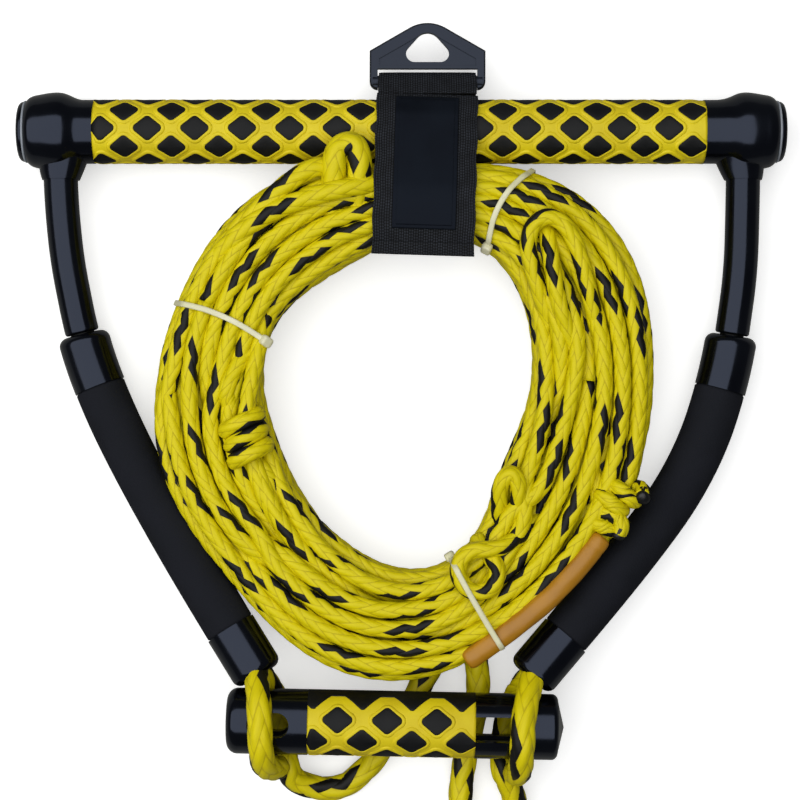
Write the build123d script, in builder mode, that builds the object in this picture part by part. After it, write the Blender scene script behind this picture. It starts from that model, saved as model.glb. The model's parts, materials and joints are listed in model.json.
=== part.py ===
from build123d import *
import math
import os

os.makedirs("parts", exist_ok=True)

# Tow rope handle lying flat on the floor: +X along the main bar, +Y away from
# the small handle, +Z up. All sizes in millimetres.

# ---- driving dimensions -------------------------------------------------
# rope
rope_d = 12.0               # bridle rope diameter
rope_clearance = 0.25       # radial room round the rope in sleeves and holes
# main bar
bar_y = 128.25              # bar axis
tube_od = 25.4
tube_wall = 1.7
tube_half = 184.0           # half length of the aluminium tube
boot_belly = 6.8            # vinyl round the tube where the boot is thickest
bar_z = tube_od / 2 + boot_belly    # bar axis height: the boots rest on the floor
leg_inset = 13.0            # leg axis from the tube's end
leg_x = tube_half - leg_inset
grip_left = 31.0 - tube_half        # the grip stops short of the tube's ends
grip_right = tube_half - 33.2
grip_wall = 2.5             # yellow sleeve, glued on the tube
grip_base_r = tube_od / 2 + grip_wall
pad_high = 0.8              # the pads stand up from the sleeve
grip_pad_r = grip_base_r + pad_high
boot_lip = 3.0              # the boot reaches past the tube's end
boot_face = tube_half + boot_lip
plug_proud = 3.75           # end plug outside the boot; makes 15 in overall
end_x = boot_face + plug_proud
boot_wall = 3.2             # vinyl round the tube at the collar
boot_wall_r = tube_od / 2 + boot_wall
plug_edge = 2.3             # rim of the end plug round the tube
plug_r = tube_od / 2 + plug_edge
plug_stub = 6.0
exit_play = 0.8             # room round the rope in the bar's exit holes
exit_long = 17.5            # exit hole along the bar
skirt_top = (12.4, 14.6)    # half axes of the boot's flared skirt under the barrel
skirt_waist = (11.6, 10.6)  # and half way down to the leg
skirt_hem = 0.9             # skirt's wall round the leg sleeve
# pads
pad_long = 14.6             # along the bar
pad_round = 12.4            # across, measured round the surface
pad_pitch = 23.4
pad_rows = 10
small_pad_pitch = 24.3
small_pad_rows = 9
band_from = -34.0           # solid band on the small grip, degrees round from +Y
band_to = 37.0
# legs and floats
leg_od = 17.0
leg_top = 16.2              # start of the leg sleeve below the bar axis, along the leg
float_od = 25.0
cap_od = 25.8
cap_wall = 1.5
cap_lip = 2.2               # closed end of a float cap
cap_len = 27.5
float_start = 102.0         # path length from the bar axis to the upper cap
# small handle
small_y = -166.2
small_z = 29.0
small_tilt = -1.2           # degrees, the small handle lies slightly askew
small_left = -86.4
small_right = 77.2
small_tip = 3.2             # height of the pointed right end
small_grip_left = -46.3
small_grip_right = 36.3
small_core_r = 12.7
small_core_bore = 9.6
small_base_r = small_core_r + 2.7   # yellow sleeve
small_r = small_base_r + pad_high   # pads, end sleeves and caps are flush
slot_wide = 12.4
slot_left = (-76.0, -55.2)
slot_right = (30.0, 62.0)
small_cap_len = 9.5
spin_clearance = 0.35       # rope loops to the small handle
# strap and hang tab
strap_x = 12.9
strap_w = 48.8
strap_t = 1.4
strap_gap = 0.3
tab_x = 13.0
tab_w = 57.8
tab_leg = 4.0
tab_t = 4.4
tab_bar_y = 153.3           # crossbar the webbing turns round
tab_foot = 4.0              # legs of the tab below the crossbar
tab_shoulder = 15.3         # shoulders above the crossbar
tab_top = tab_bar_y + 29.1
slot_high = 11.2            # slot for the webbing
tab_bar_r = 3.0
seam_gap = 1.15             # between the loop's end and the flap at the seam
flap_skew = -1.8            # degrees, the flap hangs slightly askew
flap_knee = 96.5            # where the flap reaches the top of the coil
flap_drop = 78.0            # and where it turns down again
flap_bend_r = (24.0, 12.0)  # radii of those two bends
tape_low = 109.0            # where the tape from under the bar reaches the floor
tape_joint = 90.0           # the wide webbing ends on the loop tape
flap_end = (67.3, 43.8)     # y and z of the flap's free end
wrap_w = 41.0               # loop tape under the flap
wrap_y = 68.4               # inner side of the coil, where the tape turns up
patch_w = 31.0
patch_t = 0.8
hook_t = 0.9
# coil
coil_y = -13.0
coil_bottom = 0.3
coil_over_tape = 2.2        # the coil's underside where the strap passes under it
coil_top = 44.2
coil_round = 15.0
coil_off_bar = 0.65         # the turns stop this far from the grip
coil_outer = (127.4, 2.8, 4.3, -3.3, 2.2, -0.7, 4.2, -0.3, 0.2, -1.8, -2.3)
coil_inner = (72.7, -0.2, 8.8, -9.4, 2.1, -3.8, 3.8, 0.3, -0.8, 1.8, 0.0)
tie_w = 2.8
tie_t = 1.2
tie_round = 12.0            # bend of the tie round the coil's edges
knot_at = (107.5, -59.0, 36.0)
knot_r = 9.2
knot_end_r = 3.9            # sealed end that stands out of the knot
knot_end_long = 14.0
label_r = 5.2               # orange shrink sleeve over a turn of the rope


def series(terms, angle):
    """Radius of a closed outline: mean radius plus cosine and sine waves."""
    total = terms[0]
    for k in range(1, len(terms) // 2 + 1):
        total += terms[2 * k - 1] * math.cos(k * angle) + terms[2 * k] * math.sin(k * angle)
    return total


def ring_point(terms, angle, grow=0.0):
    r = series(terms, angle) + grow
    return (r * math.cos(angle), coil_y + r * math.sin(angle))


def bend_radii(points, name):
    """Radius of every corner arc: 0.45 x shorter run / tan(half the turn)."""
    radii = []
    for a, b, c in zip(points, points[1:], points[2:]):
        v = Vector(*b) - Vector(*a)
        w = Vector(*c) - Vector(*b)
        turn = math.radians(v.get_angle(w))
        radii.append(round(0.45 * min(v.length, w.length) / math.tan(turn / 2), 2))
    print(name, "arc radii", radii)
    return radii


def path_of(points, name):
    with BuildLine() as line:
        FilletPolyline(*points, radius=bend_radii(points, name))
    return line.wires()[0]


def cut_path(path, start, stop):
    """Piece of a path between two distances along it."""
    return path.trim(start / path.length, stop / path.length)


def tube_on(path, outer, inner=0.0):
    with BuildPart() as tube:
        with BuildSketch(Plane(origin=path @ 0, z_dir=path % 0)):
            Circle(outer)
            if inner:
                Circle(inner, mode=Mode.SUBTRACT)
        sweep(path=path)
    return tube


def volume_check(piece, path, area, name):
    ratio = piece.part.volume / (area * path.length)
    print(f"{name}: length {path.length:.1f} mm, volume over section x length {ratio:.3f}")


done = {}       # finished pieces by node name

# ---- main bar ------------------------------------------------------------
bar_axis = Axis((0, bar_y, bar_z), (1, 0, 0))
bar_plane = Plane(origin=(0, bar_y, bar_z), x_dir=(0, 1, 0), z_dir=(1, 0, 0))

with BuildPart() as main_bar_tube:
    with BuildSketch(bar_plane.offset(-tube_half)):
        Circle(tube_od / 2)
        Circle(tube_od / 2 - tube_wall, mode=Mode.SUBTRACT)
    extrude(amount=2 * tube_half)
    # holes in the wall where the bridle rope turns out of the bar
    with BuildSketch(Plane(origin=(0, bar_y, bar_z), x_dir=(1, 0, 0), z_dir=(0, -1, 0))):
        with Locations((-leg_x + 1.2, 0), (leg_x - 1.2, 0)):
            SlotOverall(exit_long, rope_d + 2 * exit_play)
    extrude(amount=tube_od, mode=Mode.SUBTRACT)

with BuildPart() as main_grip_sleeve:
    with BuildSketch(bar_plane.offset(grip_left)):
        Circle(grip_base_r)
        Circle(tube_od / 2, mode=Mode.SUBTRACT)
    extrude(amount=grip_right - grip_left)
    chamfer(main_grip_sleeve.edges().filter_by(GeomType.CIRCLE).sort_by(SortBy.RADIUS)[-2:], 0.4)


def pad_spots(axis_y, axis_z, left, right, first_angle, rows, first_x, pitch):
    """Planes for the pads: rows round the bar, every other row shifted by half a pitch."""
    spots = []
    for row in range(rows):
        angle = math.radians(first_angle + row * 360.0 / rows)
        x = first_x + (row % 2) * pitch / 2
        while x <= right - 2.5:
            if x >= left + 2.5:
                outward = (0, math.cos(angle), math.sin(angle))
                spots.append(Plane(origin=(x, axis_y, axis_z), x_dir=(1, 0, 0), z_dir=outward))
            x += pitch
    return spots


def on_ray(angle, reach):
    return (reach * math.cos(math.radians(angle)), reach * math.sin(math.radians(angle)))


def pad_set(spots, base_r, top_r, ring_plane, length, band=None):
    """Every pad is one diamond prism set out round the bar and cut to a ring of the sleeve's radius."""
    with BuildPart() as prism:
        with BuildSketch(Plane.XY.offset(base_r - 2.5)):
            with BuildLine():
                Polyline((-pad_long / 2, 0), (-1.1, pad_round / 2), (1.1, pad_round / 2), (pad_long / 2, 0),
                         (1.1, -pad_round / 2), (-1.1, -pad_round / 2), close=True)
            make_face()
        extrude(amount=top_r - base_r + 4.0)
    with BuildPart() as pads:
        with Locations(*[spot.location for spot in spots]):
            add(prism.part)
        if band:
            with BuildSketch(ring_plane):
                with BuildLine():
                    Polyline((0, 0), on_ray(band[0], 40), on_ray((band[0] + band[1]) / 2, 60),
                             on_ray(band[1], 40), close=True)
                make_face()
            extrude(amount=length)
        with BuildSketch(ring_plane):
            Circle(top_r)
            Circle(base_r, mode=Mode.SUBTRACT)
        extrude(amount=length, mode=Mode.INTERSECT)
    return pads


main_spots = pad_spots(bar_y, bar_z, grip_left, grip_right, 82.0, pad_rows, grip_left + 4.2, pad_pitch)
main_grip_pads = pad_set(main_spots, grip_base_r, grip_pad_r, bar_plane.offset(grip_left),
                         grip_right - grip_left)
print("main pads", len(main_spots))


def make_boot(side):
    """Dipped T end: revolved barrel with a swelling, and a flared skirt down to the leg."""
    grip_end = grip_right if side > 0 else -grip_left
    with BuildPart() as boot:
        with BuildSketch(Plane(origin=(0, bar_y, bar_z), x_dir=(side, 0, 0), z_dir=(0, 0, side))):
            with BuildLine():
                Polyline((grip_end, 0), (grip_end, boot_wall_r), (grip_end + 5.5, boot_wall_r))
                Spline((grip_end + 5.5, boot_wall_r), (leg_x - 7.4, bar_z - 2.3), (leg_x - 2.8, bar_z - 0.4),
                       (leg_x + 2.0, bar_z), (boot_face - 6.5, bar_z - 1.1), (boot_face, plug_r),
                       tangents=[(1, 0), (0.6, -1)])
                Polyline((boot_face, plug_r), (boot_face, 0), (grip_end, 0))
            make_face()
        revolve(axis=bar_axis)
        # flared skirt: wide towards the grip, round at the leg
        for along, below, axes in ((leg_x - 4.6, 6.0, skirt_top), (leg_x - 1.6, 17.0, skirt_waist)):
            cut = Plane(origin=(side * along, bar_y - below, bar_z), x_dir=(1, 0, 0), z_dir=(0, -1, 0))
            with BuildSketch(cut):
                Ellipse(axes[0], axes[1])
        with BuildSketch(Plane(origin=(side * leg_x - leg_lean(side), bar_y - 24.0, bar_z), x_dir=(1, 0, 0),
                               z_dir=(0, -1, 0))):
            Circle(leg_od / 2 + skirt_hem)
        loft()
        # room for the bar tube, the plug stub, the leg sleeve and the rope
        with BuildSketch(bar_plane.offset(side * grip_end)):
            Circle(tube_od / 2)
        extrude(amount=side * (tube_half - grip_end), mode=Mode.SUBTRACT)
        with BuildSketch(bar_plane.offset(side * tube_half)):
            Circle(tube_od / 2 - tube_wall)
        extrude(amount=side * 10.0, mode=Mode.SUBTRACT)
    return boot


def leg_lean(side):
    return side * 0.3 if side > 0 else -0.9


# ---- bridle rope and legs ------------------------------------------------
left_corners = [(-leg_x, bar_y, bar_z), (1.0 - leg_x, 92.6, bar_z - 0.7), (3.6 - leg_x, 64.0, bar_z - 2.3),
                (11.6 - leg_x, 22.0, 14.6), (28.4 - leg_x, -21.0, 15.8), (61.0 - leg_x, -79.5, 21.0),
                (-70.3, -142.3, small_z)]
right_corners = [(leg_x, bar_y, bar_z), (leg_x - 0.4, 92.6, bar_z - 0.7), (leg_x - 1.1, 58.0, bar_z - 2.3),
                 (leg_x - 7.6, 10.0, 14.6), (leg_x - 22.4, -36.0, 15.8), (leg_x - 51.5, -78.6, 21.0),
                 (63.4, -143.4, small_z)]
bar_corners = [(37.0 - leg_x, bar_y - 0.8, bar_z - 0.8), (-72.0, bar_y + 1.2, bar_z + 0.8),
               (0.0, bar_y - 1.2, bar_z - 1.2), (72.0, bar_y + 1.2, bar_z + 0.8),
               (leg_x - 37.0, bar_y - 0.8, bar_z - 0.8)]
left_leg = path_of(left_corners, "left leg")
right_leg = path_of(right_corners, "right leg")
bridle_points = list(reversed(left_corners)) + bar_corners + right_corners
bridle_path = path_of(bridle_points, "bridle rope")
bridle_rope = tube_on(bridle_path, rope_d / 2)
volume_check(bridle_rope, bridle_path, math.pi * rope_d ** 2 / 4, "bridle rope")

rope_bore = rope_d / 2 + rope_clearance


def make_leg(path, side):
    """Leg sleeve, float and the two float caps, all on the same leg path."""
    total = path.length
    sleeve = tube_on(cut_path(path, leg_top, float_start - 0.6), leg_od / 2, rope_bore)
    with BuildPart() as leg_sleeve:
        add(sleeve.part)
        ends = leg_sleeve.edges().filter_by(GeomType.CIRCLE).sort_by(Axis.Y)[:2]
        fillet(ends.sort_by(SortBy.RADIUS)[-1], 1.4)
    inside = tube_on(cut_path(path, float_start + cap_lip, total - cap_lip), cap_od / 2 - cap_wall, rope_bore)
    outside = tube_on(cut_path(path, float_start + cap_len, total - cap_len), float_od / 2, rope_bore)
    with BuildPart() as foam:
        add(inside.part)
        add(outside.part)
    caps = []
    for start, stop in ((float_start, float_start + cap_len), (total - cap_len, total)):
        span = cut_path(path, start, stop)
        top = start == float_start
        inner = (start + cap_lip, stop + 1.0) if top else (start - 1.0, stop - cap_lip)
        hollow = tube_on(cut_path(path, *inner), cap_od / 2 - cap_wall)
        with BuildPart() as cap:
            add(tube_on(span, cap_od / 2, rope_bore).part)
            face_end = cap.faces().filter_by(GeomType.PLANE).sort_by(Axis.Y)[-1 if top else 0]
            fillet(face_end.edges().sort_by(SortBy.LENGTH)[-1], 4.5)
            add(hollow.part, mode=Mode.SUBTRACT)
        caps.append(cap)
    return leg_sleeve, foam, caps[0], caps[1]


leg_sleeve_left, float_foam_left, float_cap_top_left, float_cap_bottom_left = make_leg(left_leg, -1)
leg_sleeve_right, float_foam_right, float_cap_top_right, float_cap_bottom_right = make_leg(right_leg, 1)
for name, piece in (("leg_sleeve_left", leg_sleeve_left), ("leg_sleeve_right", leg_sleeve_right),
                    ("float_foam_left", float_foam_left), ("float_foam_right", float_foam_right),
                    ("float_cap_top_left", float_cap_top_left), ("float_cap_top_right", float_cap_top_right),
                    ("float_cap_bottom_left", float_cap_bottom_left),
                    ("float_cap_bottom_right", float_cap_bottom_right)):
    done[name] = piece.part

# boots: the barrel minus the leg sleeve pocket and the rope's turn
sleeve_room_left = tube_on(cut_path(left_leg, leg_top, 40.0), leg_od / 2)
sleeve_room_right = tube_on(cut_path(right_leg, leg_top, 40.0), leg_od / 2)
turn_left = tube_on(cut_path(bridle_path, left_leg.length - 34.0, left_leg.length + 30.0), rope_bore)
turn_right = tube_on(cut_path(bridle_path, bridle_path.length - right_leg.length - 22.0,
                              bridle_path.length - right_leg.length + 40.0), rope_bore)
with BuildPart() as boot_left:
    add(make_boot(-1).part)
    add(sleeve_room_left.part, mode=Mode.SUBTRACT)
    add(turn_left.part, mode=Mode.SUBTRACT)
with BuildPart() as boot_right:
    add(make_boot(1).part)
    add(sleeve_room_right.part, mode=Mode.SUBTRACT)
    add(turn_right.part, mode=Mode.SUBTRACT)

for side, name in ((-1, "end_plug_left"), (1, "end_plug_right")):
    with BuildPart() as end_plug:
        with BuildSketch(bar_plane.offset(side * boot_face)):
            Circle(plug_r)
        extrude(amount=side * (end_x - boot_face))
        outer_face = end_plug.faces().sort_by(Axis.X)[-1 if side > 0 else 0]
        fillet(outer_face.edges(), 2.6)
        with BuildSketch(bar_plane.offset(side * (boot_face - plug_stub))):
            Circle(tube_od / 2 - tube_wall)
        extrude(amount=side * plug_stub)
    done[name] = end_plug.part

# ---- rope loops round the small handle -----------------------------------
loop_r = small_r + rope_d / 2 + spin_clearance


def loop_point(x, angle, spread):
    a = math.radians(angle)
    return (x, small_y + loop_r * spread * math.cos(a), small_z + loop_r * spread * math.sin(a))


left_axis_y = small_y - 68.0 * math.sin(math.radians(small_tilt))
right_axis_y = small_y + 59.0 * math.sin(math.radians(small_tilt))


def round_bar(x, axis_y, angle, spread=1.105):
    """Point on a polygon round the small handle, so the rope clears it by its own radius."""
    a = math.radians(angle)
    return (x, axis_y + loop_r * spread * math.cos(a), small_z + loop_r * spread * math.sin(a))


def mouth(path, inward, lift):
    """Start of a strand: just inside the float mouth, above or below the middle."""
    point = path @ 1 - (path % 1) * inward
    return (point.X, point.Y, point.Z + lift)


strand_lift = 5.4
mouth_depth = 2.4
loop_front_left_points = [mouth(left_leg, mouth_depth, strand_lift), round_bar(-69.0, left_axis_y, 63.0),
                          round_bar(-68.6, left_axis_y, 112.0), round_bar(-67.5, left_axis_y, 160.0),
                          round_bar(-61.5, left_axis_y, 200.0, 1.15)]
loop_back_left_points = [mouth(left_leg, mouth_depth, -strand_lift), round_bar(-63.0, left_axis_y, -63.0),
                         round_bar(-60.5, left_axis_y, -112.0), round_bar(-57.5, left_axis_y, -152.0, 1.15)]
loop_front_right_points = [mouth(right_leg, mouth_depth, strand_lift), round_bar(59.3, right_axis_y, 63.0),
                           round_bar(58.6, right_axis_y, 112.0), round_bar(58.0, right_axis_y, 160.0),
                           round_bar(56.5, right_axis_y, 200.0, 1.15)]
loop_back_right_points = [mouth(right_leg, mouth_depth, -strand_lift), round_bar(55.5, right_axis_y, -63.0),
                          round_bar(51.0, right_axis_y, -112.0), round_bar(50.0, right_axis_y, -152.0, 1.15)]
tail_z = rope_d / 2 + 0.15
tail_left_points = [(-63.5, -189.5, 17.0), (-55.5, -196.5, 11.0), (-44.0, -202.0, tail_z + 0.6),
                    (-30.5, -202.5, tail_z), (-17.5, -192.5, tail_z + 0.4), (-6.0, -176.5, tail_z),
                    (6.0, -157.5, tail_z + 0.3), (14.5, -141.0, tail_z + 1.5)]
tail_right_points = [(56.8, -190.0, 17.0), (58.3, -201.5, 10.0), (58.5, -212.0, tail_z + 0.6),
                     (54.3, -222.3, tail_z), (44.0, -226.5, tail_z + 0.2), (33.7, -222.3, tail_z),
                     (29.5, -212.0, tail_z + 0.2), (30.3, -198.0, tail_z), (33.0, -182.0, tail_z + 0.2),
                     (37.5, -164.0, tail_z), (39.5, -146.0, tail_z + 0.3), (37.0, -134.0, tail_z + 2.5)]
for name, points in (("loop_front_left", loop_front_left_points), ("loop_back_left", loop_back_left_points),
                     ("loop_front_right", loop_front_right_points), ("loop_back_right", loop_back_right_points),
                     ("tail_left", tail_left_points), ("tail_right", tail_right_points)):
    route = path_of(points, name)
    strand = tube_on(route, rope_d / 2)
    volume_check(strand, route, math.pi * rope_d ** 2 / 4, name)
    done[name] = strand.part

# ---- small handle, built round the X axis and then laid askew -------------
small_plane = Plane(origin=(0, 0, 0), x_dir=(0, 1, 0), z_dir=(1, 0, 0))
small_place = Location((0, small_y, small_z), (0, 0, small_tilt))


def window_cut(span):
    """Through window of a slotted end, front to back."""
    with BuildPart() as window:
        with BuildSketch(Plane.XY.offset(-small_r - 2)):
            with Locations(((span[0] + span[1]) / 2, 0)):
                SlotOverall(span[1] - span[0], slot_wide)
        extrude(amount=2 * small_r + 4)
    return window.part


left_window = window_cut(slot_left)
right_window = window_cut(slot_right)

with BuildPart() as small_core:
    with BuildSketch(small_plane.offset(small_left + 3.0)):
        Circle(small_core_r)
        Circle(small_core_bore, mode=Mode.SUBTRACT)
    extrude(amount=small_right - small_left - 6.0)
    add(left_window, mode=Mode.SUBTRACT)
    add(right_window, mode=Mode.SUBTRACT)

with BuildPart() as small_grip_sleeve:
    with BuildSketch(small_plane.offset(small_grip_left)):
        Circle(small_base_r)
        Circle(small_core_r, mode=Mode.SUBTRACT)
    extrude(amount=small_grip_right - small_grip_left)

small_spots = pad_spots(0, 0, small_grip_left, small_grip_right, 84.0, small_pad_rows, -55.7, small_pad_pitch)
small_spots = [spot for spot in small_spots if spot.z_dir.Y < 0.76]
# a solid band closes the sheet of pads where its two edges meet
small_grip_pads = pad_set(small_spots, small_base_r, small_r, small_plane.offset(small_grip_left),
                          small_grip_right - small_grip_left, (band_from, band_to))

small_sleeves = {}
ends = (("small_end_sleeve_left", small_left + small_cap_len, small_grip_left, left_window),
        ("small_end_sleeve_right", small_grip_right, small_right - small_cap_len, right_window))
for name, start, stop, window in ends:
    with BuildPart() as end_sleeve:
        with BuildSketch(small_plane.offset(start)):
            Circle(small_r)
            Circle(small_core_r, mode=Mode.SUBTRACT)
        extrude(amount=stop - start)
        add(window, mode=Mode.SUBTRACT)
    small_sleeves[name] = end_sleeve

with BuildPart() as small_end_cap_left:
    with BuildSketch(Plane.XY):
        with BuildLine():
            Polyline((small_left + small_cap_len, small_core_r), (small_left + small_cap_len, small_r),
                     (small_left + 5.5, small_r))
            RadiusArc((small_left + 5.5, small_r), (small_left, small_r - 5.5), -5.5)
            Polyline((small_left, small_r - 5.5), (small_left, 0), (small_left + 3.0, 0),
                     (small_left + 3.0, small_core_r), (small_left + small_cap_len, small_core_r))
        make_face()
    revolve(axis=Axis.X)

with BuildPart() as small_end_cap_right:
    with BuildSketch(Plane.XY):
        with BuildLine():
            Polyline((small_right - small_cap_len, small_core_r), (small_right - small_cap_len, small_r),
                     (small_right - 3.0, small_r))
            RadiusArc((small_right - 3.0, small_r), (small_right, small_r - 3.0), 3.0)
            Polyline((small_right, small_r - 3.0), (small_right + small_tip, 0), (small_right - 3.0, 0),
                     (small_right - 3.0, small_core_r), (small_right - small_cap_len, small_core_r))
        make_face()
    revolve(axis=Axis.X)

small_pieces = {"small_core": small_core, "small_grip_sleeve": small_grip_sleeve, "small_grip_pads": small_grip_pads,
                "small_end_cap_left": small_end_cap_left, "small_end_cap_right": small_end_cap_right}
small_pieces.update(small_sleeves)
for name, piece in small_pieces.items():
    done[name] = piece.part.moved(small_place)

# ---- strap: one webbing profile in the YZ plane, swept 48.8 mm wide --------
bar_wrap = grip_pad_r + strap_gap + strap_t / 2     # middle of the webbing round the bar
loop_wrap = tab_bar_r + strap_gap + strap_t / 2     # and round the hanger's crossbar
lean = math.degrees(math.asin((bar_wrap - loop_wrap) / (tab_bar_y - bar_y)))
tape_bottom = coil_over_tape - 0.2 - strap_t / 2
tape_top = coil_top + 0.2 + strap_t / 2
flap_z = tape_top + strap_t / 2 + 0.3 + hook_t + strap_t / 2


def on_circle(center_y, radius, angle):
    a = math.radians(angle)
    return (center_y + radius * math.cos(a), bar_z + radius * math.sin(a))


loop_tangent = on_circle(tab_bar_y, loop_wrap, 90 - lean)
bar_tangent = on_circle(bar_y, bar_wrap, 90 - lean)
seam_share = 0.51
seam = tuple(a + (b - a) * seam_share for a, b in zip(loop_tangent, bar_tangent))
step = tuple(seam_gap * v for v in (-math.cos(math.radians(lean)), math.sin(math.radians(lean))))

yz = Plane(origin=(strap_x, 0, 0), x_dir=(0, 1, 0), z_dir=(1, 0, 0))
with BuildLine(yz) as back_line:
    Line(seam, loop_tangent)
    CenterArc((tab_bar_y, bar_z), loop_wrap, 90 - lean, -(180 - 2 * lean))
    Line(on_circle(tab_bar_y, loop_wrap, lean - 90), on_circle(bar_y, bar_wrap, lean - 90))
    CenterArc((bar_y, bar_z), bar_wrap, lean - 90, -(lean + 4.0))
    FilletPolyline(on_circle(bar_y, bar_wrap, -94.0), (tape_low, tape_bottom), (tape_joint, tape_bottom),
                   radius=30)
back_path = back_line.wires()[0]
with BuildPart() as strap_back:
    with BuildSketch(Plane(origin=back_path @ 0, x_dir=(1, 0, 0), z_dir=back_path % 0)):
        Rectangle(strap_w, strap_t)
    sweep(path=back_path)

with BuildLine(yz) as wrap_line:
    FilletPolyline((tape_joint + 0.2, tape_bottom), (wrap_y, tape_bottom), (wrap_y, tape_top),
                   (flap_knee - 3.0, tape_top), radius=9.0)
wrap_path = wrap_line.wires()[0]
with BuildPart() as strap_wrap:
    with BuildSketch(Plane(origin=wrap_path @ 0, x_dir=(1, 0, 0), z_dir=wrap_path % 0)):
        Rectangle(wrap_w, strap_t)
    sweep(path=wrap_path)

# the flap, its patch and its hook tape share one path; their cross sections sit on, above or below it
skew = math.radians(flap_skew)
flap_plane = Plane(origin=(strap_x, seam[0], 0), x_dir=(-math.sin(skew), math.cos(skew), 0),
                   z_dir=(math.cos(skew), math.sin(skew), 0))
flap_wrap = bar_wrap + 0.6                          # lies over the pads without touching, askew
flap_tangent = on_circle(bar_y, flap_wrap, 90 - lean)
flap_start = tuple(a + b + c - d for a, b, c, d in zip(seam, step, flap_tangent, bar_tangent))
with BuildLine(flap_plane) as flap_line:
    Line((flap_start[0] - seam[0], flap_start[1]), (flap_tangent[0] - seam[0], flap_tangent[1]))
    CenterArc((bar_y - seam[0], bar_z), flap_wrap, 90 - lean, lean - 18.0)
    leave = on_circle(bar_y, flap_wrap, 72.0)
    FilletPolyline((leave[0] - seam[0], leave[1]), (flap_knee - seam[0], flap_z), (flap_drop - seam[0], flap_z),
                   (flap_end[0] - seam[0], flap_end[1]), radius=flap_bend_r)
flap_path = flap_line.wires()[0]
across = (math.cos(skew), math.sin(skew), 0)


def strap_layer(path, width, thick, height):
    with BuildPart() as layer:
        with BuildSketch(Plane(origin=path @ 0, x_dir=across, z_dir=path % 0)):
            with Locations((0, height)):
                Rectangle(width, thick)
        sweep(path=path)
    return layer


up = Plane(origin=flap_path @ 0, x_dir=across, z_dir=flap_path % 0).y_dir
outward = 1.0 if up.Z > 0 else -1.0
strap_flap = strap_layer(flap_path, strap_w + 0.4, strap_t, 0.0)
patch_path = cut_path(flap_path, 2.0, flap_path.length - 10.5)
strap_patch = strap_layer(patch_path, patch_w, patch_t, outward * (strap_t + patch_t) / 2)
hook_path = cut_path(flap_path, flap_path.length - 28.5, flap_path.length - 15.0)
hook_tape = strap_layer(hook_path, wrap_w - 1.0, hook_t, -outward * (strap_t + hook_t) / 2)
print("flap hinge", seam[0], seam[1], "lean", lean, "flap z", flap_z)

# ---- hang tab ---------------------------------------------------------------
panel_half = tab_w / 2 - 4.7        # recessed panel inside the raised rim
hole_half = tab_w / 2 - 12.8        # finger hole, before its corners are rounded
tab_base = Plane.XY.offset(bar_z - tab_t / 2)
with BuildPart() as hang_tab:
    with BuildSketch(tab_base) as plate:
        with BuildLine():
            Polyline((tab_x - tab_w / 2, tab_bar_y - tab_foot), (tab_x - tab_w / 2, tab_bar_y + tab_shoulder),
                     (tab_x, tab_top + 2.85), (tab_x + tab_w / 2, tab_bar_y + tab_shoulder),
                     (tab_x + tab_w / 2, tab_bar_y - tab_foot), close=True)
        make_face()
        fillet(plate.vertices().group_by(Axis.Y)[-1], 18.0)
        fillet(plate.vertices().group_by(Axis.Y)[0], 4.0)
    extrude(amount=tab_t)
    chamfer(hang_tab.faces().sort_by(Axis.Z)[-1].edges(), 0.8)
    # slot and crossbar for the webbing
    with BuildSketch(tab_base):
        with Locations((tab_x, tab_bar_y + 0.7)):
            Rectangle(tab_w - 2 * tab_leg, slot_high)
    extrude(amount=tab_t, mode=Mode.SUBTRACT)
    crossbar_end = Plane(origin=(tab_x - tab_w / 2 + 1.5, tab_bar_y, bar_z), x_dir=(0, 1, 0), z_dir=(1, 0, 0))
    with BuildSketch(crossbar_end):
        Circle(tab_bar_r)
    extrude(amount=tab_w - 3.0)
    # recessed panel inside the raised rim
    with BuildSketch(Plane.XY.offset(bar_z + tab_t / 2 - 0.9)) as panel:
        with BuildLine():
            Polyline((tab_x - panel_half, tab_bar_y + 7.7), (tab_x - panel_half, tab_bar_y + 11.3),
                     (tab_x, tab_top - 4.0), (tab_x + panel_half, tab_bar_y + 11.3),
                     (tab_x + panel_half, tab_bar_y + 7.7), close=True)
        make_face()
        fillet(panel.vertices().group_by(Axis.Y)[-1], 9.0)
    extrude(amount=2.0, mode=Mode.SUBTRACT)
    # finger hole
    with BuildSketch(tab_base) as hole:
        with BuildLine():
            Polyline((tab_x - hole_half, tab_bar_y + 9.7), (tab_x, tab_top - 1.5),
                     (tab_x + hole_half, tab_bar_y + 9.7), close=True)
        make_face()
        fillet(hole.vertices().group_by(Axis.Y)[-1], 6.7)
        fillet(hole.vertices().group_by(Axis.Y)[0], 4.3)
    extrude(amount=tab_t, mode=Mode.SUBTRACT)

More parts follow.
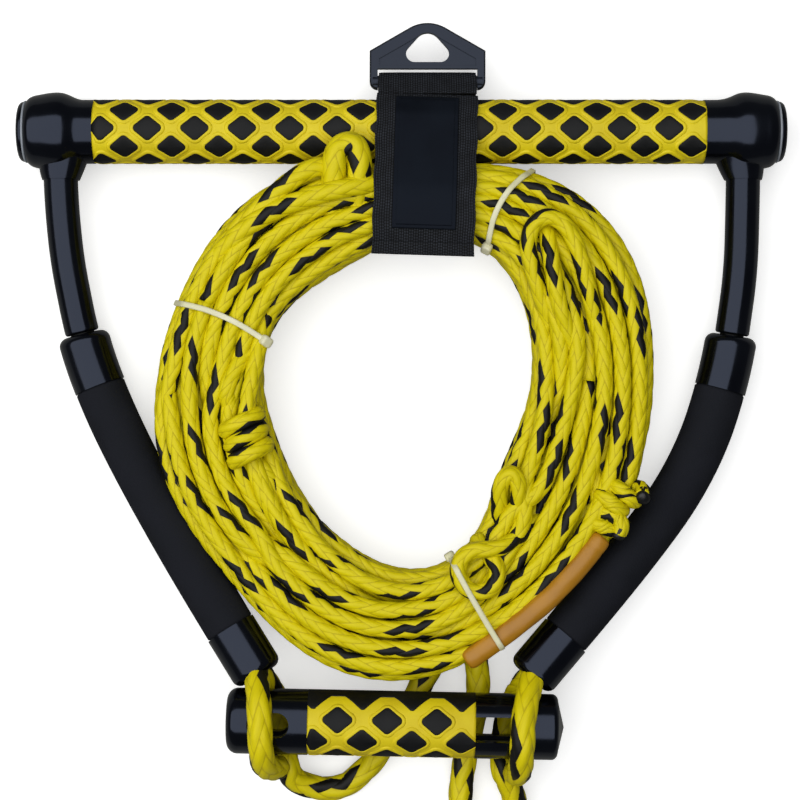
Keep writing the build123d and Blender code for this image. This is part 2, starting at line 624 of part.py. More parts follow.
# ---- tow rope coil ------------------------------------------------------------
steps = 30
outer_ring = [ring_point(coil_outer, 2 * math.pi * k / steps) for k in range(steps)]
inner_ring = [ring_point(coil_inner, 2 * math.pi * k / steps) for k in range(steps)]
with BuildPart() as tow_rope_coil:
    with BuildSketch(Plane.XY.offset(coil_bottom)):
        with BuildLine():
            Spline(*outer_ring, periodic=True)
        make_face()
        with BuildLine():
            Spline(*inner_ring, periodic=True)
        make_face(mode=Mode.SUBTRACT)
    extrude(amount=coil_top - coil_bottom)
    fillet(tow_rope_coil.edges().filter_by(Plane.XY), coil_round)
    # the coil gives way to the bar and to both floats
    with BuildSketch(Plane.XY):
        with Locations((0, bar_y)):
            Rectangle(2 * end_x, 2 * (grip_pad_r + coil_off_bar))
    extrude(amount=60.0, mode=Mode.SUBTRACT)
    add(tube_on(left_leg, cap_od / 2 + 0.5).part, mode=Mode.SUBTRACT)
    add(tube_on(right_leg, cap_od / 2 + 0.5).part, mode=Mode.SUBTRACT)
    # and lies over the strap that passes under it
    with BuildSketch(Plane.XY):
        with Locations((strap_x, tape_joint)):
            Rectangle(strap_w + 3.0, 50.0)
    extrude(amount=coil_over_tape, mode=Mode.SUBTRACT)
print("coil volume", tow_rope_coil.part.volume, "solids", len(tow_rope_coil.solids()))


def make_tie(outer_angle, inner_angle, head_at):
    """Cable tie: a rounded loop round the coil in an upright plane, with its head on top."""
    a = Vector(*ring_point(coil_outer, math.radians(outer_angle), 0.3), 0)
    b = Vector(*ring_point(coil_inner, math.radians(inner_angle), -0.3), 0)
    chord = b - a
    middle = (a + b) * 0.5
    loop_h = coil_top - coil_bottom + 0.4
    frame = Plane(origin=(middle.X, middle.Y, (coil_top + coil_bottom) / 2), x_dir=chord,
                  z_dir=Vector(chord.Y, -chord.X, 0))
    with BuildPart() as tie:
        with BuildSketch(frame.offset(-tie_w / 2)):
            RectangleRounded(chord.length + 2 * tie_t, loop_h + 2 * tie_t, tie_round + tie_t)
            RectangleRounded(chord.length, loop_h, tie_round, mode=Mode.SUBTRACT)
        extrude(amount=tie_w)
        with BuildSketch(frame.offset(-2.5)):
            with Locations((head_at * chord.length / 2, loop_h / 2 + tie_t / 2 + 2.0)):
                RectangleRounded(4.6, 4.2, 0.8)
        extrude(amount=5.0)
    return tie


for name, angles in (("cable_tie_left", (152.6, 150.8, 0.5)), ("cable_tie_top", (61.6, 62.8, -0.3)),
                     ("cable_tie_bottom", (-66.4, -70.9, -0.2))):
    tie = make_tie(*angles)
    done[name] = tie.part

label_points = [(98.0, -74.0, 37.0), (80.0, -95.5, 38.5), (55.0, -117.5, 38.0), (31.5, -135.5, 35.0)]
label_path = path_of(label_points, "label")
orange_sleeve = tube_on(label_path, label_r)

with BuildPart() as end_knot:
    with Locations(knot_at):
        Sphere(knot_r)
    with BuildSketch(Plane(origin=knot_at, z_dir=(0.72, 0.62, 0.3))):
        Circle(knot_end_r)
    extrude(amount=knot_end_long)

done.update(main_bar_tube=main_bar_tube.part, main_grip_sleeve=main_grip_sleeve.part,
            main_grip_pads=main_grip_pads.part, boot_left=boot_left.part, boot_right=boot_right.part,
            bridle_rope=bridle_rope.part, strap_back=strap_back.part, strap_wrap=strap_wrap.part,
            strap_flap=strap_flap.part, strap_patch=strap_patch.part, hook_tape=hook_tape.part,
            hang_tab=hang_tab.part, tow_rope_coil=tow_rope_coil.part, orange_sleeve=orange_sleeve.part,
            end_knot=end_knot.part)

# the origin is the middle of the footprint, without the cords, on the floor
loose = ("bridle_rope", "loop_", "tail_", "tow_rope_coil", "cable_tie", "orange_sleeve", "end_knot")
solid_boxes = [part.bounding_box() for name, part in done.items() if not name.startswith(loose)]
low = [min(tuple(box.min)[i] for box in solid_boxes) for i in range(3)]
high = [max(tuple(box.max)[i] for box in solid_boxes) for i in range(3)]
print("footprint", [round(v, 3) for v in low], [round(v, 3) for v in high])
origin_shift = Location((0, 0.74, 0.01))
for name, part in sorted(done.items()):
    placed = part.moved(origin_shift)
    placed.label = name
    export_step(placed, f"parts/{name}.step")
print(len(done), "pieces written")
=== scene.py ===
"""A tow rope handle for water sports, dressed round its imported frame.

Lengths are millimetres in the fields of the classes and metres in the meshes.
"""
import json
import logging
import math
from dataclasses import dataclass, field
from enum import Enum
from functools import cache

import bpy
import numpy as np
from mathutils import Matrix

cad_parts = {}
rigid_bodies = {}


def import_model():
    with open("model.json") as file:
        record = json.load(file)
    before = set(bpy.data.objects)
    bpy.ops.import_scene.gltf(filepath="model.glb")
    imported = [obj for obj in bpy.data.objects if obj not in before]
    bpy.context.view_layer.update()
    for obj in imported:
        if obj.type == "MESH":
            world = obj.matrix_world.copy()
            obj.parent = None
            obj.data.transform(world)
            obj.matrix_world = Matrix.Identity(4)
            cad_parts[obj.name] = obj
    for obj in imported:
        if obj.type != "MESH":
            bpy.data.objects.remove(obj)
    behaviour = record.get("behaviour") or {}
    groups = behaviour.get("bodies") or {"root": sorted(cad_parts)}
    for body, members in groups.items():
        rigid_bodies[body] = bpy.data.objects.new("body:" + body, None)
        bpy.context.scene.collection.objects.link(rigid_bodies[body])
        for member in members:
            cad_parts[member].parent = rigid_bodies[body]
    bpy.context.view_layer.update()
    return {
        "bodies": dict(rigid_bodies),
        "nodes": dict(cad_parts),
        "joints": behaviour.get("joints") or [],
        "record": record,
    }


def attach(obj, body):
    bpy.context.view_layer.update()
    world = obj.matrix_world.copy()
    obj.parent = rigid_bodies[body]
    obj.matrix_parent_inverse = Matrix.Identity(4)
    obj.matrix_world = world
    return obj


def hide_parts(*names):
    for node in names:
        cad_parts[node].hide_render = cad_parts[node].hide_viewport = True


LOG = logging.getLogger("tow_handle")
MM = 0.001
SHIFT = np.array([0.0, 0.74, 0.01])     # the source's last move, which puts the origin under the middle
UP = np.array([0.0, 0.0, 1.0])


# ---- shared helpers ---------------------------------------------------------

def linear(hex_colour: str) -> tuple[float, float, float, float]:
    """Linear colour of an sRGB hex value.

    Args:
        hex_colour: six hex digits, such as "d9c81e".
    Returns:
        Red, green, blue and an alpha of one.
    """
    parts = np.array([int(hex_colour[k:k + 2], 16) / 255 for k in (0, 2, 4)])
    parts = np.where(parts <= 0.04045, parts / 12.92, ((parts + 0.055) / 1.055) ** 2.4)
    return (*[float(v) for v in parts], 1.0)


def plug(tree: bpy.types.NodeTree, node: bpy.types.Node, links: dict) -> None:
    """Joins or sets inputs of a node.

    Args:
        tree: the material's node tree.
        node: the node whose inputs they are.
        links: input name or number to a socket, a node (its first output) or a plain value.
    """
    for name, value in links.items():
        if isinstance(value, bpy.types.Node):
            tree.links.new(value.outputs[0], node.inputs[name])
        elif isinstance(value, bpy.types.NodeSocket):
            tree.links.new(value, node.inputs[name])
        else:
            node.inputs[name].default_value = value


def add(tree: bpy.types.NodeTree, kind: str, links: dict | None = None, **settings: object) -> bpy.types.Node:
    """Adds one node.

    Args:
        tree: the material's node tree.
        kind: the node's class name.
        links: its inputs, as plug() takes them.
        settings: attributes of the node.
    Returns:
        The new node.
    """
    node = tree.nodes.new(kind)
    for name, value in settings.items():
        setattr(node, name, value)
    plug(tree, node, links or {})
    return node


def formula(tree: bpy.types.NodeTree, known: dict, steps: list[tuple]) -> dict:
    """Writes a formula as maths nodes.

    Args:
        tree: the material's node tree.
        known: names already worked out, each with its socket.
        steps: rows of (name, operation, operand, ...), where an operand is a known name or a number.
    Returns:
        The known names with the new ones added.
    """
    for name, operation, *operands in steps:
        links = {k: known.get(value, value) for k, value in enumerate(operands)}
        known[name] = add(tree, "ShaderNodeMath", links, operation=operation)
    return known


def new_material(name: str) -> tuple[bpy.types.Material, bpy.types.NodeTree, bpy.types.Node]:
    """An empty material with its output joined to a Principled shader.

    Args:
        name: what the real material is.
    Returns:
        The material, its tree and the shader node.
    """
    material = bpy.data.materials.new(name)
    material.use_nodes = True
    tree = material.node_tree
    tree.nodes.clear()
    shader = add(tree, "ShaderNodeBsdfPrincipled")
    add(tree, "ShaderNodeOutputMaterial", {"Surface": shader})
    return material, tree, shader


def smooth_noise(count: int, waves: int, rng: np.random.Generator) -> np.ndarray:
    """Smooth wandering value along a line: a sum of sine waves of falling height and random phase.

    Args:
        count: number of values.
        waves: number of sine waves.
        rng: seeded generator.
    Returns:
        Values of about -1 to 1.
    """
    t = np.linspace(0, 2 * np.pi, count)[:, None]
    order = np.arange(1, waves + 1)
    return (np.sin(t * order * 0.5 + rng.uniform(0, 2 * np.pi, waves)) / np.sqrt(order)).sum(axis=1) / 1.6


def mesh_object(name: str, points: np.ndarray, faces: list[np.ndarray],
                uvs: np.ndarray | None = None) -> bpy.types.Object:
    """Puts points and smooth faces in a new object at the origin.

    Args:
        name: the piece's name.
        points: n by 3, millimetres.
        faces: arrays of point numbers, each m by 3 or m by 4.
        uvs: one pair for each face corner, in the order of the faces.
    Returns:
        The object.
    """
    mesh = bpy.data.meshes.new(name)
    mesh.from_pydata(points * MM, [], [tuple(f) for block in faces for f in block.tolist()])
    if uvs is not None:
        mesh.uv_layers.new(name="UVMap").data.foreach_set("uv", uvs.astype(np.float32).ravel())
    mesh.polygons.foreach_set("use_smooth", [True] * len(mesh.polygons))
    mesh.update()
    piece = bpy.data.objects.new(name, mesh)
    bpy.context.scene.collection.objects.link(piece)
    return piece


def grid_object(name: str, grid: np.ndarray, u: np.ndarray | None = None, v: np.ndarray | None = None,
                capped: bool = True) -> bpy.types.Object:
    """A surface of two parameters as a mesh: rows follow u, and columns follow v and close on themselves.

    Args:
        name: the piece's name.
        grid: rows by columns by 3 points, millimetres.
        u: one value for each row, or 0 to 1 in even steps.
        v: one value for each column and one more, or 0 to 1 in even steps.
        capped: closes both ends with a fan.
    Returns:
        The object, with u and v as its UV map.
    """
    rows, columns = grid.shape[:2]
    u = np.linspace(0, 1, rows) if u is None else u
    v = np.linspace(0, 1, columns + 1) if v is None else v
    i, j = (axis.ravel() for axis in np.meshgrid(np.arange(rows - 1), np.arange(columns), indexing="ij"))
    after = (j + 1) % columns
    here, above = i * columns, (i + 1) * columns
    corner_u = np.stack([u[i], u[i], u[i + 1], u[i + 1]], axis=1)
    corner_v = np.stack([v[j], v[j + 1], v[j + 1], v[j]], axis=1)
    points = grid.reshape(-1, 3)
    blocks = [np.stack([here + j, here + after, above + after, above + j], axis=1)]
    uvs = [np.stack([corner_u, corner_v], axis=2).reshape(-1, 2)]
    if capped:
        k = np.arange(columns)
        last, middle = (rows - 1) * columns, rows * columns
        points = np.vstack([points, grid[0].mean(axis=0), grid[-1].mean(axis=0)])
        blocks.append(np.stack([np.full(columns, middle), (k + 1) % columns, k], axis=1))
        blocks.append(np.stack([np.full(columns, middle + 1), last + k, last + (k + 1) % columns], axis=1))
        for row, order in ((0, (0.5, 1, 0)), (-1, (0.5, 0, 1))):
            turned = v[:columns, None] + np.array(order) / columns
            uvs.append(np.stack([np.full((columns, 3), u[row]), turned], axis=2).reshape(-1, 2))
    return mesh_object(name, points, blocks, np.vstack(uvs))


def circle(count: int) -> np.ndarray:
    """Angles of even steps once round, in radians, from 0."""
    return np.linspace(0, 2 * np.pi, count + 1)[:-1]


def distances(line: np.ndarray) -> np.ndarray:
    """Distance of each point along a line, from 0 at its start."""
    return np.concatenate([[0], np.cumsum(np.linalg.norm(np.diff(line, axis=0), axis=1))])


def carried_ring(path: np.ndarray, upright: np.ndarray, angle: np.ndarray, radius: np.ndarray) -> np.ndarray:
    """A profile carried along a path: centre + radius x (cos x normal + sin x side) at every angle.

    Args:
        path: n by 3 centres.
        upright: direction that the normal keeps nearest to.
        angle: n by m, or m angles round the path.
        radius: n by m distances from the centre.
    Returns:
        n by m by 3 points.
    """
    along = np.gradient(path, axis=0)
    along /= np.linalg.norm(along, axis=1, keepdims=True)
    side = np.cross(along, upright)
    side /= np.linalg.norm(side, axis=1, keepdims=True)
    normal = np.cross(side, along)
    angle = np.broadcast_to(angle, radius.shape)
    return (path[:, None] + (radius * np.cos(angle))[..., None] * normal[:, None]
            + (radius * np.sin(angle))[..., None] * side[:, None])


def nurbs_line(points: np.ndarray, fineness: int) -> np.ndarray:
    """Points of the smooth NURBS line through the bends of a rope's route.

    Args:
        points: control points, millimetres.
        fineness: steps to each control point.
    Returns:
        Points along the line, millimetres.
    """
    data = bpy.data.curves.new("route", "CURVE")
    data.dimensions = "3D"
    spline = data.splines.new("NURBS")
    spline.points.add(len(points) - 1)
    spline.points.foreach_set("co", np.column_stack([points, np.ones(len(points))]).ravel())
    spline.order_u = 3
    spline.use_endpoint_u = True
    data.resolution_u = fineness
    holder = bpy.data.objects.new("route", data)
    bpy.context.scene.collection.objects.link(holder)
    bpy.context.view_layer.update()
    mesh = bpy.data.meshes.new_from_object(holder)
    line = np.empty(len(mesh.vertices) * 3)
    mesh.vertices.foreach_get("co", line)
    bpy.data.objects.remove(holder)
    bpy.data.curves.remove(data)
    bpy.data.meshes.remove(mesh)
    return line.reshape(-1, 3)


def wear(piece: bpy.types.Object, material: bpy.types.Material) -> None:
    """Gives a piece one material in its only slot."""
    piece.data.materials.clear()
    piece.data.materials.append(material)


def dress(piece: bpy.types.Object, material: bpy.types.Material, *nodes: str, body: str = "handle") -> None:
    """Finishes a visible piece.

    Args:
        piece: the mesh object.
        material: what it is made of.
        nodes: the frame's nodes that it stands in for.
        body: what it moves with.
    """
    wear(piece, material)
    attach(piece, body)
    if nodes:
        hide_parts(*nodes)


BAR_AXIS = (128.25, 19.5)       # y and z of the grip bar
# the two legs of the bridle, from the bar down to the small handle
LEGS = {
    "float_foam_left": ((-171.0, *BAR_AXIS), (-170.0, 92.6, 18.8), (-167.4, 64.0, 17.2), (-159.4, 22.0, 14.6),
                        (-142.6, -21.0, 15.8), (-110.0, -79.5, 21.0), (-70.3, -142.3, 29.0)),
    "float_foam_right": ((171.0, *BAR_AXIS), (170.6, 92.6, 18.8), (169.9, 58.0, 17.2), (163.4, 10.0, 14.6),
                         (148.6, -36.0, 15.8), (119.5, -78.6, 21.0), (63.4, -143.4, 29.0)),
}


# ---- finishes ---------------------------------------------------------------

@dataclass(frozen=True)
class Braid:
    """Hollow braid of polypropylene yarn bundles: how its carriers cross, shared by shape and finish."""
    carriers: int = 6           # each way round
    pitch: float = 64.0         # one turn of a carrier along the rope
    tracers: float = 1.5        # neighbouring dark carriers, plus a half
    relief: float = 0.5         # how far a bundle stands proud
    crown: float = 0.7          # power of its roundness across
    fall: float = 0.6           # how far it sinks at its two ends

    def height(self, u: np.ndarray, v: np.ndarray) -> np.ndarray:
        """Relief of the braid.

        Two sets of slanted lanes, a = n(v + u/p) and b = n(v - u/p), cross each other. Where the sum of
        the lane numbers is 0 or 1 in every four, the first set lies on top, else the second, so each
        bundle floats over two others. A float is round across and falls away at its two ends.

        Args:
            u: distance along the rope, mm.
            v: share of the way round, 0 to 1.
        Returns:
            Height from 0 to 1.
        """
        a, b = self.carriers * (v + u / self.pitch), self.carriers * (v - u / self.pitch)
        i, j = np.floor(a), np.floor(b)
        first = (i + j) % 4 < 1.5
        across = np.where(first, a - i, b - j) - 0.5
        along = np.where(first, (b + i) % 4 / 2 - 0.5, ((a + j) % 4 - 2) / 2 - 0.5)
        return np.clip(1 - (2 * across) ** 2, 0, 1) ** self.crown * (1 - self.fall * (2 * along) ** 4)


@dataclass(frozen=True)
class BraidFinish:
    """Polypropylene braid: satin yellow bundles of fine filaments with painted shade darkening the low places
    between them, and two neighbouring black bundles that come round as stepped dashes."""
    name: str = "polypropylene_braid"
    yellow: str = "e2d404"
    warm: str = "cdbc02"
    # painted shade: the colour that the low places between bundles are darkened towards
    shade: str = "b3a003"
    black: str = "0c0c09"
    braid: Braid = field(default_factory=Braid)

    @cache
    def material(self) -> bpy.types.Material:
        """Builds the material from the rope's own UV map, u in metres along it and v round it.

        The first rows are Braid.height() as nodes, and the last draw the filaments along each bundle.
        """
        material, tree, shader = new_material(self.name)
        uv = add(tree, "ShaderNodeUVMap", uv_map="UVMap")
        split = add(tree, "ShaderNodeSeparateXYZ", {0: uv})
        n = self.braid.carriers
        known = formula(tree, {"u": split.outputs[0], "v": split.outputs[1]}, [
            ("lead", "MULTIPLY", "u", 1000 / self.braid.pitch),
            ("va", "ADD", "v", "lead"), ("a", "MULTIPLY", "va", n),
            ("vb", "SUBTRACT", "v", "lead"), ("b", "MULTIPLY", "vb", n),
            ("i", "FLOOR", "a"), ("j", "FLOOR", "b"), ("sum", "ADD", "i", "j"),
            ("four", "FLOORED_MODULO", "sum", 4.0), ("first", "LESS_THAN", "four", 1.5),
            ("second", "SUBTRACT", 1.0, "first"),
            ("fa", "SUBTRACT", "a", "i"), ("fb", "SUBTRACT", "b", "j"),
            ("fa1", "MULTIPLY", "fa", "first"), ("across", "MULTIPLY_ADD", "fb", "second", "fa1"),
            ("bi", "ADD", "b", "i"), ("bi4", "FLOORED_MODULO", "bi", 4.0),
            ("bi1", "MULTIPLY", "bi4", "first"),
            ("aj", "ADD", "a", "j"), ("aj4", "FLOORED_MODULO", "aj", 4.0), ("aj2", "SUBTRACT", "aj4", 2.0),
            ("along", "MULTIPLY_ADD", "aj2", "second", "bi1"),
            ("side", "MULTIPLY_ADD", "across", 2.0, -1.0), ("side2", "MULTIPLY", "side", "side"),
            ("end", "SUBTRACT", "along", 1.0), ("end2", "MULTIPLY", "end", "end"),
            ("end4", "MULTIPLY", "end2", "end2"),
            ("crown", "SUBTRACT", 1.0, "side2"), ("crown_soft", "POWER", "crown", self.braid.crown),
            ("fall", "MULTIPLY_ADD", "end4", -self.braid.fall, 1.0),
            ("height", "MULTIPLY", "crown_soft", "fall"),
            ("lane", "FLOORED_MODULO", "i", float(n)), ("dark", "LESS_THAN", "lane", self.braid.tracers),
            ("tracer", "MULTIPLY", "dark", "first"),
            ("fil_x", "MULTIPLY", "across", 7.0),
            ("lane_a", "MULTIPLY", "i", 3.7), ("lane_b", "MULTIPLY", "j", 5.3),
            ("lanes", "ADD", "lane_a", "lane_b"), ("fil_y", "MULTIPLY", "along", 0.9),
        ])
        # one filament strip is about half a millimetre wide, drawn coarser than the yarn so that it shows
        where = add(tree, "ShaderNodeCombineXYZ", {0: known["fil_x"], 1: known["fil_y"], 2: known["lanes"]})
        fibre = add(tree, "ShaderNodeTexNoise",
                    {"Vector": where, "Scale": 1.0, "Detail": 3.0, "Roughness": 0.6})
        # painted shade: where the braid's height is low, between the bundles, the colour is darkened towards
        # the shade colour
        shade = add(tree, "ShaderNodeMapRange", {"Value": known["height"], 1: 0.0, 2: 0.45, 3: 0.0, 4: 1.0})
        body = add(tree, "ShaderNodeMix", {0: fibre, 6: linear(self.warm), 7: linear(self.yellow)},
                   data_type="RGBA")
        clefts = add(tree, "ShaderNodeMix", {0: shade, 6: linear(self.shade), 7: body.outputs[2]},
                     data_type="RGBA")
        colour = add(tree, "ShaderNodeMix", {0: known["tracer"], 6: clefts.outputs[2], 7: linear(self.black)},
                     data_type="RGBA")
        formula(tree, known, [("fine", "MULTIPLY", fibre, 0.35), ("relief", "ADD", "height", "fine")])
        bump = add(tree, "ShaderNodeBump", {"Strength": 0.7, "Distance": 0.0004, "Height": known["relief"]})
        plug(tree, shader, {"Base Color": colour.outputs[2], "Normal": bump, "Roughness": 0.5, "IOR": 1.49,
                            "Specular IOR Level": 0.25})
        return material


class Grain(Enum):
    """How a moulded, dipped or foamed surface breaks up: a texture node and the setting it needs."""
    SATIN = ("ShaderNodeTexNoise", {"Detail": 4.0})
    CELLS = ("ShaderNodeTexVoronoi", {"Randomness": 1.0})


@dataclass(frozen=True)
class MouldedFinish:
    """Plastic or rubber in one colour: cloudy colour change, fine grain and, where glossy, a clear skin."""
    name: str
    base: str
    cloud: str
    roughness: float
    ior: float
    grain: Grain
    grain_mm: float
    bump_mm: float
    coat: float = 0.0
    shine: float = 0.5          # strength of the plain reflection
    tint: str = "ffffff"        # colour that the reflection takes from the skin
    cloud_mm: float = 22.0      # size of the cloudy patches

    @cache
    def material(self) -> bpy.types.Material:
        """Builds the material on Object coordinates, so a grain keeps its real size on every piece."""
        material, tree, shader = new_material(self.name)
        place = add(tree, "ShaderNodeTexCoord").outputs["Object"]
        coarse = add(tree, "ShaderNodeTexNoise",
                     {"Vector": place, "Scale": 1000 / self.cloud_mm, "Detail": 3.0})
        kind, extra = self.grain.value
        fine = add(tree, kind, {"Vector": place, "Scale": 1000 / self.grain_mm, **extra})
        blotch = add(tree, "ShaderNodeMapRange", {"Value": coarse, 1: 0.35, 2: 0.65, 3: 0.0, 4: 1.0})
        colour = add(tree, "ShaderNodeMix", {0: blotch, 6: linear(self.base), 7: linear(self.cloud)},
                     data_type="RGBA")
        rough = add(tree, "ShaderNodeMapRange",
                    {"Value": coarse, 1: 0.3, 2: 0.7, 3: self.roughness * 0.85, 4: self.roughness * 1.15})
        bump = add(tree, "ShaderNodeBump", {"Strength": 0.6, "Distance": self.bump_mm * MM, "Height": fine})
        plug(tree, shader, {
            "Base Color": colour.outputs[2], "Roughness": rough, "Normal": bump, "IOR": self.ior,
            "Coat Weight": self.coat, "Coat Roughness": 0.06, "Specular IOR Level": self.shine,
            "Specular Tint": linear(self.tint)})
        return material


@dataclass(frozen=True)
class WebbingFinish:
    """Woven polypropylene webbing: matt black ribs across the tape with warp threads over them, their crowns
    lightened by a painted grey highlight.
    """
    name: str = "polypropylene_webbing"
    thread: str = "07080a"
    # painted highlight: the lighter grey laid on the crowns of the ribs and threads
    crown_highlight: str = "33373e"
    rib: float = 1.45           # from rib to rib along the tape
    warp: float = 1.2           # from thread to thread across it

    @cache
    def material(self) -> bpy.types.Material:
        """Builds the material from the tape's UV map, u in metres along it and v in metres across."""
        material, tree, shader = new_material(self.name)
        uv = add(tree, "ShaderNodeUVMap", uv_map="UVMap")
        split = add(tree, "ShaderNodeSeparateXYZ", {0: uv})
        known = formula(tree, {"u": split.outputs[0], "v": split.outputs[1]}, [
            ("row", "MULTIPLY", "u", 2 * math.pi * 1000 / self.rib),
            ("line", "MULTIPLY", "v", math.pi * 1000 / self.warp),
            ("flip", "MULTIPLY", "v", 500 / self.warp), ("flip_i", "FLOOR", "flip"),
            ("half", "MULTIPLY", "flip_i", math.pi), ("phase", "ADD", "row", "half"),
            ("rib", "SINE", "phase"),
            ("warp", "SINE", "line"), ("warp_abs", "ABSOLUTE", "warp"),
            ("weave", "MULTIPLY_ADD", "rib", 0.35, "warp_abs"),
        ])
        noise = add(tree, "ShaderNodeTexNoise", {"Vector": uv, "Scale": 160.0, "Detail": 4.0})
        # painted highlight: the raised crowns of the weave are lightened to grey in noisy dots
        mask = add(tree, "ShaderNodeMapRange", {"Value": known["weave"], 1: 0.35, 2: 1.25, 3: 0.0, 4: 1.2})
        formula(tree, known, [("lift", "MULTIPLY", mask.outputs[0], noise.outputs[0])])
        colour = add(tree, "ShaderNodeMix", {0: known["lift"], 6: linear(self.thread), 7: linear(self.crown_highlight)},
                     data_type="RGBA")
        bump = add(tree, "ShaderNodeBump", {"Strength": 0.8, "Distance": 0.0003, "Height": known["weave"]})
        plug(tree, shader, {"Base Color": colour.outputs[2], "Normal": bump, "Roughness": 0.72,
                            "Specular IOR Level": 0.2})
        return material


ROPE = BraidFinish()
THICK_ROPE = BraidFinish(name="polypropylene_braid_thick", braid=Braid(pitch=84.0, relief=0.75))
# dipped vinyl: a wet-looking black skin that mirrors the lights in long soft streaks
VINYL = MouldedFinish("dipped_vinyl", "030304", "060708", 0.17, 1.5, Grain.SATIN, 4.0, 0.03, tint="c4d2f4")
# closed-cell nitrile foam: near-black and fully matt, with a faint grain of cut cells
FOAM = MouldedFinish("nitrile_foam", "121315", "1a1b1f", 0.86, 1.3, Grain.CELLS, 0.9, 0.12, tint="dde4ff")
# moulded EVA rubber: even yellow with a silky, slightly waxy surface
GRIP_YELLOW = MouldedFinish("eva_rubber_yellow", "e0cc10", "d0ba0c", 0.55, 1.4, Grain.SATIN, 0.8, 0.04)
# moulded rubber pads: charcoal, leathery grain, satin
PAD_BLACK = MouldedFinish("rubber_pad", "08090a", "0e0f10", 0.55, 1.4, Grain.SATIN, 0.6, 0.05, shine=0.32)
# injection-moulded nylon: dark grey, satin, fine spark-eroded texture
TAB_PLASTIC = MouldedFinish("moulded_nylon", "101319", "171b22", 0.36, 1.53, Grain.SATIN, 0.5, 0.04,
                            shine=0.4, tint="ccd8f4")
# heat-pressed PVC patch: smooth bluish black with a faint leather grain
PATCH = MouldedFinish("pressed_pvc_patch", "0b0e13", "10141a", 0.5, 1.4, Grain.SATIN, 0.7, 0.04,
                      shine=0.16, tint="c4d2f4")
# brushed aluminium tube, seen only inside the boots' mouths
BAR = MouldedFinish("brushed_aluminium_core", "8d9094", "9da0a4", 0.35, 1.45, Grain.SATIN, 0.4, 0.02)
# natural nylon ties: milky cream with a slight gloss
TIE = MouldedFinish("natural_nylon", "d3d0a4", "e0ddbc", 0.35, 1.53, Grain.SATIN, 1.0, 0.03, 0.2)
# orange heat-shrink sleeve, satin and slightly dusty
SLEEVE = MouldedFinish("shrink_sleeve_orange", "a06c08", "b07a10", 0.42, 1.5, Grain.SATIN, 0.8, 0.05)
# rope end melted with a flame: a hard black bead with a satin sheen
MELTED = MouldedFinish("melted_polypropylene", "090909", "111112", 0.42, 1.49, Grain.SATIN, 1.5, 0.15)
# pale grey bead along each boot's edge: a painted highlight, greyer and duller than the skin
RIM = MouldedFinish("boot_edge_highlight", "8a9098", "9aa0a6", 0.45, 1.54, Grain.SATIN, 1.0, 0.03)
# hook tape: a black pile of tiny nylon hooks
HOOKS = MouldedFinish("nylon_hook_tape", "08090b", "101114", 0.7, 1.53, Grain.CELLS, 1.3, 0.5)


# woven polypropylene strap: matt black ribs whose crowns carry a painted grey highlight
WEBBING = WebbingFinish()


# ---- sub-assemblies ---------------------------------------------------------

@dataclass
class Rope:
    """A length of braided rope: tube of the braid's own relief along a smooth line."""
    diameter: float
    finish: BraidFinish
    sides: int
    level: float = 0.62         # the braid's height that lies on the nominal diameter

    def tube(self, name: str, line: np.ndarray, start: float, twist: np.ndarray | float,
             upright: np.ndarray = UP) -> tuple[bpy.types.Object, float]:
        """A round profile carried along the line, pushed in between the bundles by the braid's relief.

        Args:
            name: the piece's name.
            line: centres, millimetres.
            start: distance at which the braid's pattern starts.
            twist: turns by which the pattern is laid round the rope at each centre.
            upright: direction that the profile's top keeps nearest to.
        Returns:
            The piece and the length of its line in millimetres.
        """
        run = distances(line)
        v = np.arange(self.sides) / self.sides
        braid = self.finish.braid
        turned = np.broadcast_to(np.asarray(twist, dtype=float), run.shape)
        relief = braid.height(run[:, None] + start, v[None])
        radius = self.diameter / 2 - braid.relief * (self.level - relief)
        ring = carried_ring(line, upright, 2 * np.pi * (v[None] + turned[:, None]), radius)
        piece = grid_object(name, ring, (run + start) * MM, np.arange(self.sides + 1) / self.sides)
        return piece, float(run[-1])


